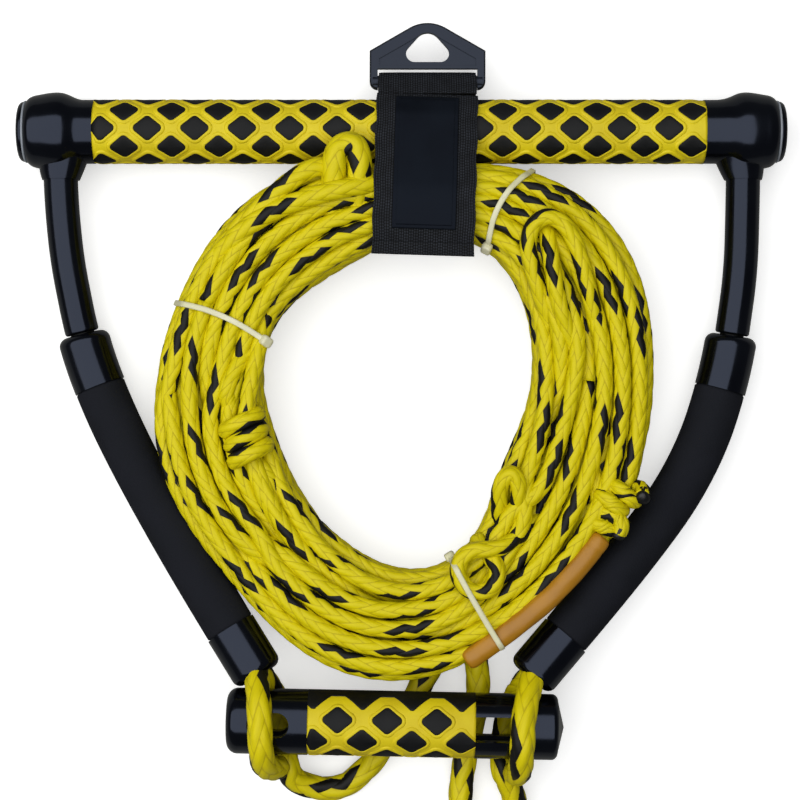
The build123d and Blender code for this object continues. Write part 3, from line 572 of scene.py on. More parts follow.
@dataclass
class TowRopeCoil:
    """The tow rope, 18 m of 8.3 mm braid in a loose ring of turns that lean on each other."""
    diameter: float = 8.3
    turns: int = 29
    sections: int = 5
    stations: int = 36
    centre: tuple[float, float] = (0.0, -12.26)
    floor_gap: float = 0.3
    tape_gap: float = 2.2           # where the strap passes under the ring
    tape_at: tuple[float, float] = (81.0, 26.0)     # degrees: middle and half width of that stretch
    top: float = 44.2
    edge: float = 15.0              # radius of the section's corners
    bar_limit: float = 112.3        # y that no turn passes, under the bar
    # mean radius, then cosine and sine of each wave round the ring
    outer: tuple[float, ...] = (127.4, 2.8, 4.3, -3.3, 2.2, -0.7, 4.2, -0.3, 0.2, -1.8, -2.3)
    inner: tuple[float, ...] = (72.7, -0.2, 8.8, -9.4, 2.1, -3.8, 3.8, 0.3, -0.8, 1.8, 0.0)
    seed: int = 7
    shuffle: float = 2.2            # how far a turn strays from its rank, in turns
    even_turn: float = 2.399963     # radians between neighbours of an even spiral
    elbow_room: float = 1.14        # turns push each other off up to this many diameters
    push: float = 0.36              # share of an overlap that one step takes away
    drift: float = 0.05             # millimetres outwards in each step
    rough_steps: int = 220          # evened out strongly
    steps: int = 260

    @staticmethod
    def radius(terms: tuple[float, ...], angle: np.ndarray) -> np.ndarray:
        """Radius of a closed outline: mean radius plus cosine and sine waves.

        Args:
            terms: mean radius, then the height of each cosine and sine.
            angle: where round the ring, radians.
        Returns:
            One radius for each angle.
        """
        order = np.arange(1, len(terms) // 2 + 1)
        waves = np.array(terms[1:]).reshape(-1, 2)
        turn = angle[..., None] * order
        return terms[0] + (waves[:, 0] * np.cos(turn)).sum(-1) + (waves[:, 1] * np.sin(turn)).sum(-1)

    def limits(self, angle: np.ndarray) -> tuple[np.ndarray, np.ndarray]:
        """Inner and outer radius of the ring, cut back where it passes under the bar.

        Args:
            angle: where round the ring, radians.
        Returns:
            The two radii for each angle.
        """
        high = np.sin(angle)
        bar = np.where(high > 0.2, (self.bar_limit - self.centre[1]) / np.maximum(high, 0.2), 1e3)
        return self.radius(self.inner, angle), np.minimum(self.radius(self.outer, angle), bar)

    def first_places(self, half: np.ndarray) -> np.ndarray:
        """Spreads the turns on an even spiral in the section, each with one change of place on its way round.

        Args:
            half: half sizes of the section for each station of one turn.
        Returns:
            Place from the section's middle, turns times stations by 2, millimetres.
        """
        rng = np.random.default_rng(self.seed)
        count, total = self.turns, self.turns * self.stations
        rank = np.arange(count + 1) + rng.normal(0, self.shuffle, count + 1)
        order = np.argsort(np.argsort(rank))
        reach = np.sqrt((order + 0.5) / (count + 1))
        spin = order * self.even_turn
        slots = np.stack([reach * np.cos(spin), reach * np.sin(spin)], axis=1)
        t = np.arange(total) / self.stations
        turn, part = t.astype(int), t % 1
        switch = rng.uniform(0.2, 0.8, count)[turn]
        blend = 1 / (1 + np.exp(-(part - switch) * 14))
        spot = slots[turn] * (1 - blend)[:, None] + slots[turn + 1] * blend[:, None]
        wander = np.stack([smooth_noise(total, 3 * count, rng), smooth_noise(total, 3 * count, rng)], axis=1)
        return (spot + wander * 0.12) * np.tile(half, (count, 1))

    def relax(self) -> np.ndarray:
        """Lays the turns in the ring's section and lets them push each other apart.

        At every station the turns are discs in the section, a rounded rectangle. Discs that overlap move
        apart by a share of the overlap, all drift outwards a little, none leaves the rectangle, and each
        turn is evened out along its own length. The last station of a turn leads on to the first of the next.

        Returns:
            Control points, turns times stations by 3, millimetres.
        """
        count, total = self.turns, self.turns * self.stations
        angle = np.pi / 2 + 2 * np.pi * np.arange(self.stations) / self.stations
        low, high = self.limits(angle)
        off = np.degrees(np.abs((angle - np.radians(self.tape_at[0]) + np.pi) % (2 * np.pi) - np.pi))
        lift = np.clip(1.6 - off / self.tape_at[1] * 0.6, 0, 1)
        floor = self.floor_gap + (self.tape_gap - self.floor_gap) * lift
        half = np.stack([(high - low) / 2, (self.top - floor) / 2], axis=1) - self.diameter / 2
        edge = self.edge - self.diameter / 2
        place = self.first_places(half)
        box = np.tile(half, (count, 1)) - edge
        apart = ~np.eye(count, dtype=bool)[None]
        size = self.diameter * self.elbow_room
        for step in range(self.steps):
            grid = place.reshape(count, self.stations, 2).transpose(1, 0, 2)
            gap = grid[:, :, None] - grid[:, None]
            distance = np.linalg.norm(gap, axis=3) + 1e-6
            push = np.where(apart, np.clip(size - distance, 0, None), 0.0)
            move = (gap / distance[..., None] * push[..., None]).sum(axis=2) * self.push
            grid = grid + move + self.drift * grid / (np.linalg.norm(grid, axis=2, keepdims=True) + 1)
            flat = grid.transpose(1, 0, 2).reshape(total, 2)
            weight = 0.3 if step < self.rough_steps else 0.12
            even = flat.copy()
            even[1:-1] = flat[1:-1] * (1 - weight) + (flat[:-2] + flat[2:]) * weight / 2
            over = np.abs(even) - box
            corner = np.clip(over, 0, None)
            depth = np.linalg.norm(corner, axis=1)
            pull = np.where(depth > edge, edge / np.maximum(depth, 1e-6), 1.0)
            place = np.where(over > 0, np.sign(even) * (box + corner * pull[:, None]), even)
        theta = np.tile(angle, count)
        r = np.tile(low + high, count) / 2 + place[:, 0]
        return np.stack([self.centre[0] + r * np.cos(theta), self.centre[1] + r * np.sin(theta),
                         np.tile(self.top + floor, count) / 2 + place[:, 1]], axis=1)

    def build(self) -> list[tuple[np.ndarray, float]]:
        """Lays the sections of rope end to end through the relaxed turns.

        Returns:
            Centre line and radius of each section.
        """
        rope = Rope(self.diameter, ROPE, 18)
        rng = np.random.default_rng(self.seed + 1)
        points = self.relax()
        marks = np.linspace(0, len(points) - 1, self.sections + 1).astype(int)
        laid = []
        for k in range(self.sections):
            line = nurbs_line(points[marks[k]:marks[k + 1] + 1], 12)
            # the pattern starts elsewhere on each section and lies round it by up to some one and a half turns
            twist = 1.6 * smooth_noise(len(line), 12, rng)
            piece, length = rope.tube(f"tow_rope_section_{k + 1}", line, start=137.0 * k, twist=twist)
            dress(piece, ROPE.material(), *(["tow_rope_coil"] if k == 0 else []))
            laid.append((line, self.diameter / 2))
            LOG.info("%s: %.2f m of rope", piece.name, length * MM)
        return laid


@dataclass
class KnotsAndEyes:
    """What stands out of the coil: eyes at its sections' ends, a wrapped joint, a hitch and end knots.

    Each is a short cord of its own that starts among the turns."""
    diameter: float = 8.3
    tip_reach: float = 3.4      # of a melted tip, past the rope's end and back over it

    @staticmethod
    def wrapped(centre: tuple[float, float, float], axis_deg: float, radius: float, pitch: float,
                turns: float) -> list[tuple[float, float, float]]:
        """Control points of a helix that lies flat: centre + axis x pitch x turn + radius x (side, up).

        Args:
            centre: middle of the wrapping, millimetres.
            axis_deg: direction of its axis on the floor, from +X towards +Y.
            radius: to the middle of the rope.
            pitch: way along the axis for each turn.
            turns: how many turns, with fourteen points in each.
        Returns:
            The control points.
        """
        a = math.radians(axis_deg)
        axis, side = np.array([math.cos(a), math.sin(a), 0.0]), np.array([-math.sin(a), math.cos(a), 0.0])
        t = np.linspace(0, turns, int(turns * 14))
        swell = 1 + 0.05 * np.sin(3.1 * t)
        points = (np.array(centre) + np.outer((t - turns / 2) * pitch, axis)
                  + radius * (np.outer(np.sin(2 * np.pi * t) * swell, side)
                              - np.outer(np.cos(2 * np.pi * t) * 0.8, UP)))
        return [tuple(p) for p in points]

    def routes(self) -> dict[str, tuple[float, np.ndarray | tuple, list]]:
        """Diameter, direction of the profile's top, and control points of each piece."""
        small, joint = self.diameter, self.wrapped((-76.0, -24.2, 42.0), -74.0, 8.4, 7.8, 3.0)
        knot = self.wrapped((106.2, -54.0, 39.5), 35.0, 6.1, 8.0, 2.0)
        lower = self.wrapped((100.0, -66.5, 38.0), 55.0, 4.9, 6.6, 1.5)
        return {
            "hitch_at_bar": (12.0, UP, [
                (-34.5, 80, 31), (-34, 91, 37), (-33.2, 103, 42.5), (-32.8, 111, 44), (-31, 118.5, 43.5),
                (-22.4, 120, 43.5), (-20.4, 112, 44), (-20.6, 103, 42.5), (-21, 91, 37), (-20.5, 80, 31)]),
            "strand_over_hitch": (9.6, UP, [
                (-94, 62, 34), (-84, 72, 40.5), (-72, 81.5, 43.5), (-59, 88.5, 44), (-44, 93.5, 45.5),
                (-31, 97, 46.5), (-20, 99, 44.5), (-12, 100.5, 40.5), (-2, 101, 36)]),
            "strand_to_hitch": (9.6, UP, [
                (-84, 76, 36), (-70, 87.5, 41.5), (-58, 98.5, 43), (-48, 106, 43.5), (-38, 109.5, 41),
                (-26, 108, 35)]),
            "section_joint": (small, (0.28, -0.96, 0.0), [
                (-71, 28, 33), (-76, 18, 37.5), (-81.5, 9, 42), (-86, -1, 43.5), (-84.5, -9, 39),
                (-80, -13.5, 35.5), *joint, (-67.5, -39, 38), (-63, -49, 36.5), (-58, -60, 33)]),
            "joint_strand": (small, UP, [
                (-66, 38, 32), (-68.5, 28, 36.5), (-71, 15, 40.5), (-73.5, 3, 44), (-75.5, -9, 46),
                (-76.5, -19, 42.5), (-73, -37, 40), (-68, -52, 40.5), (-61, -66, 36), (-54, -76, 32)]),
            "upper_eye": (small, UP, [
                (74, 30, 34), (68.5, 44, 40.5), (64, 58, 44), (61, 71, 46), (64.5, 81, 47), (72, 84.5, 47),
                (80.5, 79.5, 47), (86, 68, 46.5), (90, 54, 45), (94, 38, 42), (97.5, 24, 34)]),
            "strand_through_eye": (small, UP, [
                (70, 84, 36), (71, 76, 42.5), (72.5, 67, 46), (74, 56, 46.5), (76.5, 43, 45),
                (80.5, 30, 42), (85, 16, 34)]),
            "lower_eye": (small, UP, [
                (68, -64, 31), (60.5, -71, 37.5), (52, -76.5, 43), (44, -79, 45.5), (35, -78.5, 46),
                (27.5, -84, 46), (28, -94.5, 46), (36, -100.5, 46), (45, -97.5, 46), (47.5, -88.5, 45.5),
                (43, -81.5, 41.5), (37, -74, 33)]),
            "small_bight": (small, UP, [
                (49, -66, 32), (47.5, -56, 39), (48.5, -45.5, 44), (53.5, -40.5, 45.5), (57.5, -46, 44.5),
                (57, -57, 40), (58, -68, 32)]),
            "end_knot_turns": (7.8, (-0.57, 0.82, 0.0), [
                (107, -14, 32), (107.5, -27, 37.5), (104, -41, 38.5), *knot, (116, -48.5, 36.5),
                (118.6, -50, 40.5), (117.8, -53, 44.5)]),
            "second_knot_turns": (7.6, (-0.82, 0.57, 0.0), [
                (94, -34, 32), (96, -47, 37), (96.5, -57.5, 37), *lower, (106.3, -63.8, 43),
                (108.2, -67.6, 43), (106.5, -71, 42)]),
        }

    def build(self) -> list[tuple[np.ndarray, float]]:
        """Lays the short cords and caps the cut ends with their melted tips.

        Returns:
            Centre line and radius of each cord.
        """
        laid = []
        for k, (name, (diameter, upright, points)) in enumerate(self.routes().items()):
            line = nurbs_line(np.array(points) + SHIFT, 10)
            rope = Rope(diameter, ROPE, 18)
            # each cord starts at another place in the braid's pattern
            piece, length = rope.tube(name, line, 17.0 + 29.0 * k, 0.21 * k, np.array(upright))
            dress(piece, ROPE.material(), *(["end_knot"] if name == "end_knot_turns" else []))
            tips = (self.melted_tip(f"{name}_tip", line, diameter),) if name.endswith("knot_turns") else ()
            laid.append((line, diameter / 2))
            LOG.info("%s: %.0f mm", name, length)
        return laid

    def melted_tip(self, name: str, line: np.ndarray, diameter: float) -> bpy.types.Object:
        """Sealed end: a blob of radius r sqrt(1 - s^3) carried on past the rope's last point.

        Args:
            name: the piece's name.
            line: the rope's centre line.
            diameter: of the rope.
        Returns:
            The tip.
        """
        way = line[-1] - line[-3]
        way /= np.linalg.norm(way)
        s = np.linspace(-1.0, 1, 16)
        path = line[-1] + np.outer(s * self.tip_reach, way)
        angle = circle(20)
        radius = (diameter / 2 - 0.15) * np.sqrt(np.clip(1 - np.abs(s) ** 3 * (s > 0), 0.0004, 1))[:, None]
        radius = radius * (1 + 0.05 * np.sin(3 * angle + 1)[None])
        tip = grid_object(name, carried_ring(path, UP, angle, radius), s)
        dress(tip, MELTED.material())
        return tip


@dataclass
class BootRims:
    """A thin pale bead at each dipped boot's edge where the end plug enters; its pale grey is a painted
    highlight.
    """
    x: float = 187.5
    ring_r: float = 14.9
    bead_r: float = 0.55
    bar: tuple[float, float] = BAR_AXIS

    def build(self) -> None:
        """Lays one ring of round section at each end, (R + r cos b) round the bar and r sin b along it."""
        a, b = circle(96)[:, None], circle(12)[None]
        reach = self.ring_r + self.bead_r * np.cos(b)
        for name, side in (("boot_rim_left", -1.0), ("boot_rim_right", 1.0)):
            along = np.broadcast_to(self.x + self.bead_r * np.sin(b), (96, 12)) * side
            grid = np.stack([along, self.bar[0] + reach * np.cos(a), self.bar[1] + reach * np.sin(a)], axis=2)
            grid = np.vstack([grid, grid[:1]]) + SHIFT
            ring = grid_object(name, grid if side > 0 else grid[:, ::-1], capped=False)
            # painted highlight: the bead's pale grey stands in for the light caught along the boot's edge
            dress(ring, RIM.material())


@dataclass
class CableTies:
    """Nylon ties pulled tight round the ring of turns: a thin band each, its head at the inner edge."""
    ropes: list[tuple[np.ndarray, float]]               # centre line and radius of all that may be tied
    band: tuple[float, float] = (2.8, 1.2)              # width and thickness
    head: tuple[float, float, float] = (3.0, 2.6, 2.3)  # half sizes: along the band, across, high
    head_way: int = 5                                   # mm up the band from its inner side
    proud: float = 0.8                                  # middle of the head over the band's
    clearance: float = 0.3                              # over the crowns of the braid
    beyond: float = 6.0                                 # ropes count up to this far outside the two ends
    # outer and inner end on the floor, and sideways bow of the top
    places: tuple = (("cable_tie_left", (-110.0, 41.5), (-64.0, 20.6), 3.0),
                     ("cable_tie_top", (65.0, 107.0), (43.2, 70.0), -5.0),
                     ("cable_tie_bottom", (51.0, -130.0), (25.6, -86.0), 0.5))

    def loop(self, outer: tuple, inner: tuple, bow: float) -> tuple[np.ndarray, np.ndarray]:
        """Centre line of a band, a point every millimetre, and the direction across it.

        In the upright plane through both ends every rope is a disc, and the band is the hull of the discs:
        at each angle t it goes round the disc that reaches furthest along (cos t, sin t). The top is then
        bowed sideways by a parabola.

        Args:
            outer, inner: its two ends on the floor.
            bow: how far the top is bowed.
        Returns:
            The line and the direction.
        """
        a, b = np.array([*outer, 0.0]) + SHIFT, np.array([*inner, 0.0]) + SHIFT
        reach = np.linalg.norm(b - a) / 2
        way = (b - a) / (2 * reach)
        side = np.array([-way[1], way[0], 0.0])
        discs = []
        for line, radius in self.ropes:
            x, off = (line - (a + b) / 2) @ way, (line - (a + b) / 2) @ side
            cut = np.nonzero((off[:-1] * off[1:] <= 0) & (np.abs(x[:-1]) < reach + self.beyond))[0]
            discs += [(x[k], line[k, 2], radius + self.clearance + self.band[1] / 2) for k in cut]
        x, z, radius = np.array(discs).T[:, :, None]
        t = np.linspace(0, 2 * np.pi, 241)
        far = np.argmax(x * np.cos(t) + z * np.sin(t) + radius, axis=0)
        x, z, radius = x[far, 0], z[far, 0], radius[far, 0]
        hull = np.stack([x + radius * np.cos(t), z + radius * np.sin(t)], axis=1)
        run = distances(hull)
        even = np.linspace(0, run[-1], int(run[-1]))
        x, z = np.interp(even, run, hull[:, 0]), np.interp(even, run, hull[:, 1])
        up = (2 * z - z.max() - z.min()) / (z.max() - z.min())
        sway = bow * np.clip(up + 0.2, 0, 1.2) * (1 - (x / np.abs(x).max()) ** 2)
        line = (a + b) / 2 + np.outer(x, way) + np.outer(sway, side)
        line[:, 2] = np.maximum(z, 0.0)
        return line, side

    def build(self) -> None:
        """Makes each band and its head."""
        c, z = np.cos(circle(16)), np.sin(circle(16))
        # the band's section is a superellipse of power five
        stretch = (np.abs(c) ** 5 + np.abs(z) ** 5) ** -0.2
        for name, outer, inner, bow in self.places:
            line, side = self.loop(outer, inner, bow)
            along = np.gradient(line, axis=0)
            along[0] = along[-1] = line[1] - line[-2]
            along /= np.linalg.norm(along, axis=1, keepdims=True)
            out = np.cross(along, np.broadcast_to(side, along.shape))
            out /= np.linalg.norm(out, axis=1, keepdims=True)
            across = np.cross(out, along)
            wide, thick = self.band[0] / 2 * stretch * c, self.band[1] / 2 * stretch * z
            grid = line[:, None] + wide[None, :, None] * across[:, None] + thick[None, :, None] * out[:, None]
            grid[-1] = grid[0]
            dress(grid_object(f"{name}_band", grid, capped=False), TIE.material(), name)
            at = self.head_way
            middle = line[at] + out[at] * self.proud * np.sign(out[at, 2])
            dress(self.block(f"{name}_head", middle, along[at], across[at]), TIE.material())
            LOG.info("%s: band of %.0f mm", name, distances(line)[-1])

    def block(self, name: str, centre: np.ndarray, along: np.ndarray, across: np.ndarray) -> bpy.types.Object:
        """Head of a tie: a rounded block, a superellipsoid of power five.

        Args:
            name: the piece's name.
            centre: its middle.
            along, across: its directions, along the band and across it.
        Returns:
            The head.
        """
        rise = np.linspace(-np.pi / 2, np.pi / 2, 15)[1:-1, None]
        turn = circle(24)[None]
        way = np.stack([np.cos(rise) * np.cos(turn), np.cos(rise) * np.sin(turn),
                        np.sin(rise) + 0 * turn], axis=2)
        way *= (np.abs(way) ** 5).sum(axis=2, keepdims=True) ** -0.2
        frame = np.stack([along, across, np.cross(along, across)])
        grid = centre + (way * np.array(self.head)) @ frame
        return grid_object(name, grid)


@dataclass
class OrangeSleeve:
    """Plain shrink sleeve over one turn of the rope: slightly flat, pressed in near both ends."""
    route: tuple = ((98.5, -73.0, 40.0), (81.0, -95.0, 42.5), (56.5, -116.5, 42.5), (32.0, -134.0, 38.5))
    wide: float = 5.3
    thick: float = 4.3

    def build(self) -> tuple[np.ndarray, float]:
        """Radius = ellipse x (1 - pinch at the ends + long faint creases).

        Returns:
            The sleeve's centre line and its radius upwards.
        """
        line = nurbs_line(np.array(self.route) + SHIFT, 34)
        s = np.linspace(0, 1, len(line))[:, None]
        a = circle(36)[None]
        radius = 1 / np.sqrt((np.cos(a) / self.thick) ** 2 + (np.sin(a) / self.wide) ** 2)
        length = distances(line)[-1]
        pinch = sum(0.05 * np.exp(-((s - place) * length / 0.7) ** 2) for place in (0.06, 0.94))
        crease = 0.012 * np.sin(5 * a + 3 * np.sin(9 * s)) + 0.01 * np.sin(23 * s + 2 * a)
        close = 1 - 0.22 * np.exp(-np.minimum(s, 1 - s) * length / 0.8)
        ring = carried_ring(line, UP, a, radius * (1 - pinch + crease) * close)
        dress(grid_object("orange_sleeve_skin", ring), SLEEVE.material(), "orange_sleeve")
        LOG.info("orange sleeve: %.0f mm", length)
        return line, self.thick


@dataclass
class FoamFloat:
    """Foam float on one leg of the bridle: a plain tube that follows the leg and dents a little."""
    name: str
    corners: tuple
    first: float = 129.5        # distance along the leg where the upper cap ends
    last: float = 27.5          # and from the leg's end where the lower cap starts
    radius: float = 12.5
    tucked: float = 11.2        # radius of the ends inside the caps
    depth: float = 3.0          # and how far in they reach

    def build(self) -> None:
        """Radius = 12.5 mm plus slow waves of a tenth of a millimetre, stepped in where the caps hold it."""
        line = nurbs_line(np.array(self.corners) + SHIFT, 40)
        run = distances(line)
        at = np.linspace(self.first - self.depth, run[-1] - self.last + self.depth, 150)
        path = np.stack([np.interp(at, run, line[:, k]) for k in range(3)], axis=1)
        path[1:-1] = (path[:-2] + path[1:-1] * 2 + path[2:]) / 4
        inside = np.minimum(at - at[0], at[-1] - at)[:, None] - self.depth
        step = np.clip(inside / 0.9, 0, 1)
        a, way = circle(48)[None], at[:, None]
        full = self.radius + 0.1 * np.sin(way / 17 + 1.3 * np.cos(a)) + 0.06 * np.sin(3 * a + way / 31)
        radius = self.tucked + (full - self.tucked) * np.sqrt(1 - (1 - step) ** 2)
        foam = grid_object(f"{self.name}_tube", carried_ring(path, UP, a, radius), at * MM)
        dress(foam, FOAM.material(), self.name)
        LOG.info("%s: %.0f mm of foam", self.name, at[-1] - at[0])


@dataclass
class BridleEnds:
    """The bridle rope where it shows: two strands from each float round the small handle, and two tails."""
    diameter: float = 12.0
    axis_z: float = 29.0
    loop_r: float = 22.55
    left_y: float = -164.78
    right_y: float = -167.44
    lift: float = 5.4
    tail_z: float = 6.15
    inward: float = 2.4         # how deep in the float's mouth a strand starts

    def round_handle(self, axis_y: float, places: tuple, angles: tuple) -> list[tuple[float, float, float]]:
        """Corners of a polygon round the small handle, so the rope clears it by its own radius.

        Args:
            axis_y: of the handle there.
            places: x of each corner.
            angles: degrees of each corner from +Y towards +Z.
        Returns:
            The corners, the last a little further out, where the rope leaves the handle.
        """
        spread = [1.105] * (len(places) - 1) + [1.15]
        return [(x, axis_y + self.loop_r * out * math.cos(a), self.axis_z + self.loop_r * out * math.sin(a))
                for x, a, out in zip(places, map(math.radians, angles), spread)]

    def mouth(self, leg: str, lift: float) -> tuple[float, float, float]:
        """Start of a strand: just inside a float's mouth, above or below its middle.

        Args:
            leg: which leg of the bridle.
            lift: height over the middle.
        Returns:
            The point.
        """
        corner, end = np.array(LEGS[leg][-2]), np.array(LEGS[leg][-1])
        way = end - corner
        start = end - way / np.linalg.norm(way) * self.inward
        return (float(start[0]), float(start[1]), float(start[2]) + lift)

    def routes(self) -> dict[str, tuple[tuple[str, ...], list]]:
        """Nodes that each strand stands for and its control points."""
        routes, z = {}, self.tail_z
        # places along the small handle of the front and the back strand, and the tail of the back one
        for side, y, front, back, tail in (
                ("left", self.left_y, (-69.0, -68.6, -67.5, -61.5), (-63.0, -60.5, -57.5), [
                    (-55.5, -196.5, 11.0), (-44.0, -202.0, z + 0.6), (-30.5, -202.5, z),
                    (-17.5, -192.5, z + 0.4), (-6.0, -176.5, z), (6.0, -157.5, z + 0.3),
                    (14.5, -141.0, z + 1.5)]),
                ("right", self.right_y, (59.3, 58.6, 58.0, 56.5), (55.5, 51.0, 50.0), [
                    (55.0, -200.5, 10.5), (58.5, -212.0, z + 0.6), (54.3, -222.3, z), (44.0, -226.5, z + 0.2),
                    (33.7, -222.3, z), (29.5, -212.0, z + 0.2), (30.3, -198.0, z), (33.0, -182.0, z + 0.2),
                    (37.5, -164.0, z), (39.5, -146.0, z + 0.3), (37.0, -134.0, z + 2.5)])):
            over = self.round_handle(y, front, (63.0, 112.0, 160.0, 200.0))
            under = self.round_handle(y, back, (-63.0, -112.0, -152.0))
            leg = f"float_foam_{side}"
            routes[f"strand_front_{side}"] = ((f"loop_front_{side}",), [self.mouth(leg, self.lift), *over])
            routes[f"strand_back_{side}"] = ((f"loop_back_{side}", f"tail_{side}"),
                                             [self.mouth(leg, -self.lift), *under, *tail])
        return routes

    def build(self) -> None:
        """Makes every strand along its own smooth line."""
        rope = Rope(self.diameter, THICK_ROPE, 26)
        for k, (name, (nodes, points)) in enumerate(self.routes().items()):
            line = nurbs_line(np.array(points) + SHIFT, 14)
            # the profile keeps to the handle's axis on the way round it, and to the upright on the floor
            low = np.clip((21.0 - line[:, 2:]) / 12.0, 0, 1) * (len(nodes) > 1)
            upright = np.array([1.0, 0.0, 0.0]) * (1 - low) + UP * low
            # each strand starts at another place in the braid's pattern
            piece, length = rope.tube(name, line, 23.0 * k, 0.13 * k, upright)
            dress(piece, THICK_ROPE.material(), *nodes)
            LOG.info("%s: %.0f mm", piece.name, length)


@dataclass
class DiamondGrip:
    """Rubber grip: a yellow sleeve, and diamond pads in rows round it, each in a low yellow collar."""
    name: str
    centre: tuple[float, float, float]
    left: float                                 # ends along the bar, from the centre
    right: float
    base_r: float                               # of the sleeve's bore plus its wall
    pad_r: float                                # over the pads
    pitch: float                                # from pad to pad along a row
    rows: int
    first_angle: float                          # of the first row, degrees from +Y towards +Z
    first_x: float                              # of a pad of the first row
    lean: float = 0.0                           # degrees about the upright
    pad: tuple[float, float] = (13.8, 12.4)     # length along the bar and width round it
    corner: float = 2.2                         # radius of a pad's corners
    end_gap: float = 2.5                        # pads' middles stay this far inside the ends
    web: float = 0.42                           # depth of the sleeve under the pads' tops
    dimple: tuple[float, float] = (0.3, 2.4)    # depth and reach at each crossing of the lattice
    wall: float = 2.2                           # of the sleeve, at its two ends
    # angles of a solid black band's front and back border, over a pad and midway between two pads
    band: tuple[float, float, float, float] | None = None
    band_thick: float = 1.4
    # rings of a collar and of a pad, from the outside in: way beyond the pad's edge, height over the pads
    collar_levels: tuple = ((2.0, -0.9), (1.9, -0.38), (1.25, 0.04), (0.4, 0.1), (0.1, 0.02), (0.0, -0.6))
    pad_levels: tuple = ((0.3, -0.9), (0.1, -0.14), (-0.3, -0.04), (-2.0, 0.0))

    def rows_and_spots(self) -> np.ndarray:
        """Every pad's place: x, angle and whether a pad stands there, rows by places by 3."""
        row = np.arange(self.rows)
        angle = np.radians(self.first_angle + row * 360.0 / self.rows)
        count = int((self.right - self.left) / self.pitch) + 4
        x = self.first_x + (row[:, None] % 2) * self.pitch / 2 + (np.arange(count)[None] - 1) * self.pitch
        turn = np.broadcast_to(angle[:, None], x.shape)
        kept = (x > self.left + self.end_gap) & (x < self.right - self.end_gap)
        if self.band:                           # no pads where the band covers the sleeve
            kept &= np.cos(turn) < 0.7
        return np.stack([x, turn, kept], axis=2)

    def laid(self, x: np.ndarray, angle: np.ndarray, radius: np.ndarray) -> np.ndarray:
        """Points on the grip, turned to the bar's lean.

        Args:
            x: along the bar.
            angle: round it, radians.
            radius: from the bar's axis.
        Returns:
            The points, with x, y and z along one more axis.
        """
        y, z = radius * np.cos(angle), radius * np.sin(angle)
        c, s = math.cos(math.radians(self.lean)), math.sin(math.radians(self.lean))
        return np.stack([self.centre[0] + x * c - y * s, self.centre[1] + x * s + y * c,
                         self.centre[2] + z], axis=-1) + SHIFT

    def sleeve(self) -> bpy.types.Object:
        """Sleeve with a dimple between every four pads: radius = web - depth x exp(-(r / reach)^2).

        Here r is the way from the nearest crossing of the lattice.
        """
        x = np.linspace(self.left, self.right, int((self.right - self.left) / 1.3))
        angle = circle(80)
        cross = np.full((len(x), len(angle)), 9.0)
        for row in self.rows_and_spots():
            around = ((angle - row[0, 1] + np.pi) % (2 * np.pi) - np.pi) * self.base_r
            for px in row[:, 0]:
                cross = np.minimum(cross, np.hypot(x[:, None] - px - self.pitch / 2, around))
        radius = self.pad_r - self.web - self.dimple[0] * np.exp(-(cross / self.dimple[1]) ** 2)
        inner = np.full((1, len(angle)), self.base_r - self.wall)
        grid = self.laid(np.concatenate([[self.left], x, [self.right]])[:, None], -angle[None],
                         np.vstack([inner, radius, inner]))
        return grid_object(self.name + "_rubber", grid)

    def diamonds(self, name: str, levels: tuple, filled: bool) -> bpy.types.Object:
        """One mesh with the same stack of rings on every spot of the lattice.

        A pad's edge is a diamond with half-widths a and b whose corners are arcs of radius r; the ring a
        way w beyond it is the same diamond with arcs of radius r + w.

        Args:
            name: what the mesh is called after the grip's own name.
            levels: from the outside in, how far each ring lies beyond the edge and how high over the pads.
            filled: True closes the last ring over the middle, False joins it back to the first one.
        Returns:
            The new object.
        """
        m, n = 32, len(levels)                  # points to a ring, and rings
        t = circle(m)
        a, b = self.pad[0] / 2 - self.corner, self.pad[1] / 2 - self.corner
        along = a * np.abs(np.cos(t)) > b * np.abs(np.sin(t))
        beyond, height = np.array(levels).T
        arc = (self.corner + beyond)[:, None]
        u = np.where(along, a * np.sign(np.cos(t)), 0.0) + arc * np.cos(t)
        v = np.where(along, 0.0, b * np.sign(np.sin(t))) + arc * np.sin(t)
        spots = self.rows_and_spots().reshape(-1, 3)
        spots = spots[spots[:, 2] > 0]
        x = np.clip(spots[:, 0, None, None] + u, self.left, self.right)
        radius = np.broadcast_to((self.pad_r + height)[None, :, None], x.shape)
        points = self.laid(x, spots[:, 1, None, None] + v / self.pad_r, radius).reshape(len(spots), -1, 3)
        k = np.arange(m)
        after = (k + 1) % m
        ring = np.arange(n - 1 if filled else n)[:, None] * m
        inward = (ring + m) % (n * m)
        groups = [np.stack([ring + k, inward + k, inward + after, ring + after], axis=2).reshape(-1, 4)]
        if filled:
            middle = self.laid(spots[:, 0], spots[:, 1], np.full(len(spots), self.pad_r + height[-1]))
            points = np.concatenate([points, middle[:, None]], axis=1)
            last = (n - 1) * m
            groups.append(np.stack([last + k, np.full(m, n * m), last + after], axis=1))
        shift = (np.arange(len(spots)) * points.shape[1])[:, None, None]
        return mesh_object(self.name + name, points.reshape(-1, 3),
                           [(group + shift).reshape(-1, group.shape[1])[:, ::-1] for group in groups])

    def border(self, x: np.ndarray, row: int, over: float, between: float) -> np.ndarray:
        """Angle of a zigzag in radians, level for 3.4 mm from the middle of a pad, then a straight run.

        Args:
            x: places along the bar.
            row: the row of pads whose places it follows.
            over: degrees over a pad.
            between: degrees midway between two pads.
        Returns:
            One angle for each place.
        """
        away = np.abs((x - self.rows_and_spots()[row, 0, 0] + self.pitch / 2) % self.pitch - self.pitch / 2)
        share = np.clip((away - 3.4) / (self.pitch / 2 - 4.2), 0, 1)
        return np.radians(over + (between - over) * share)

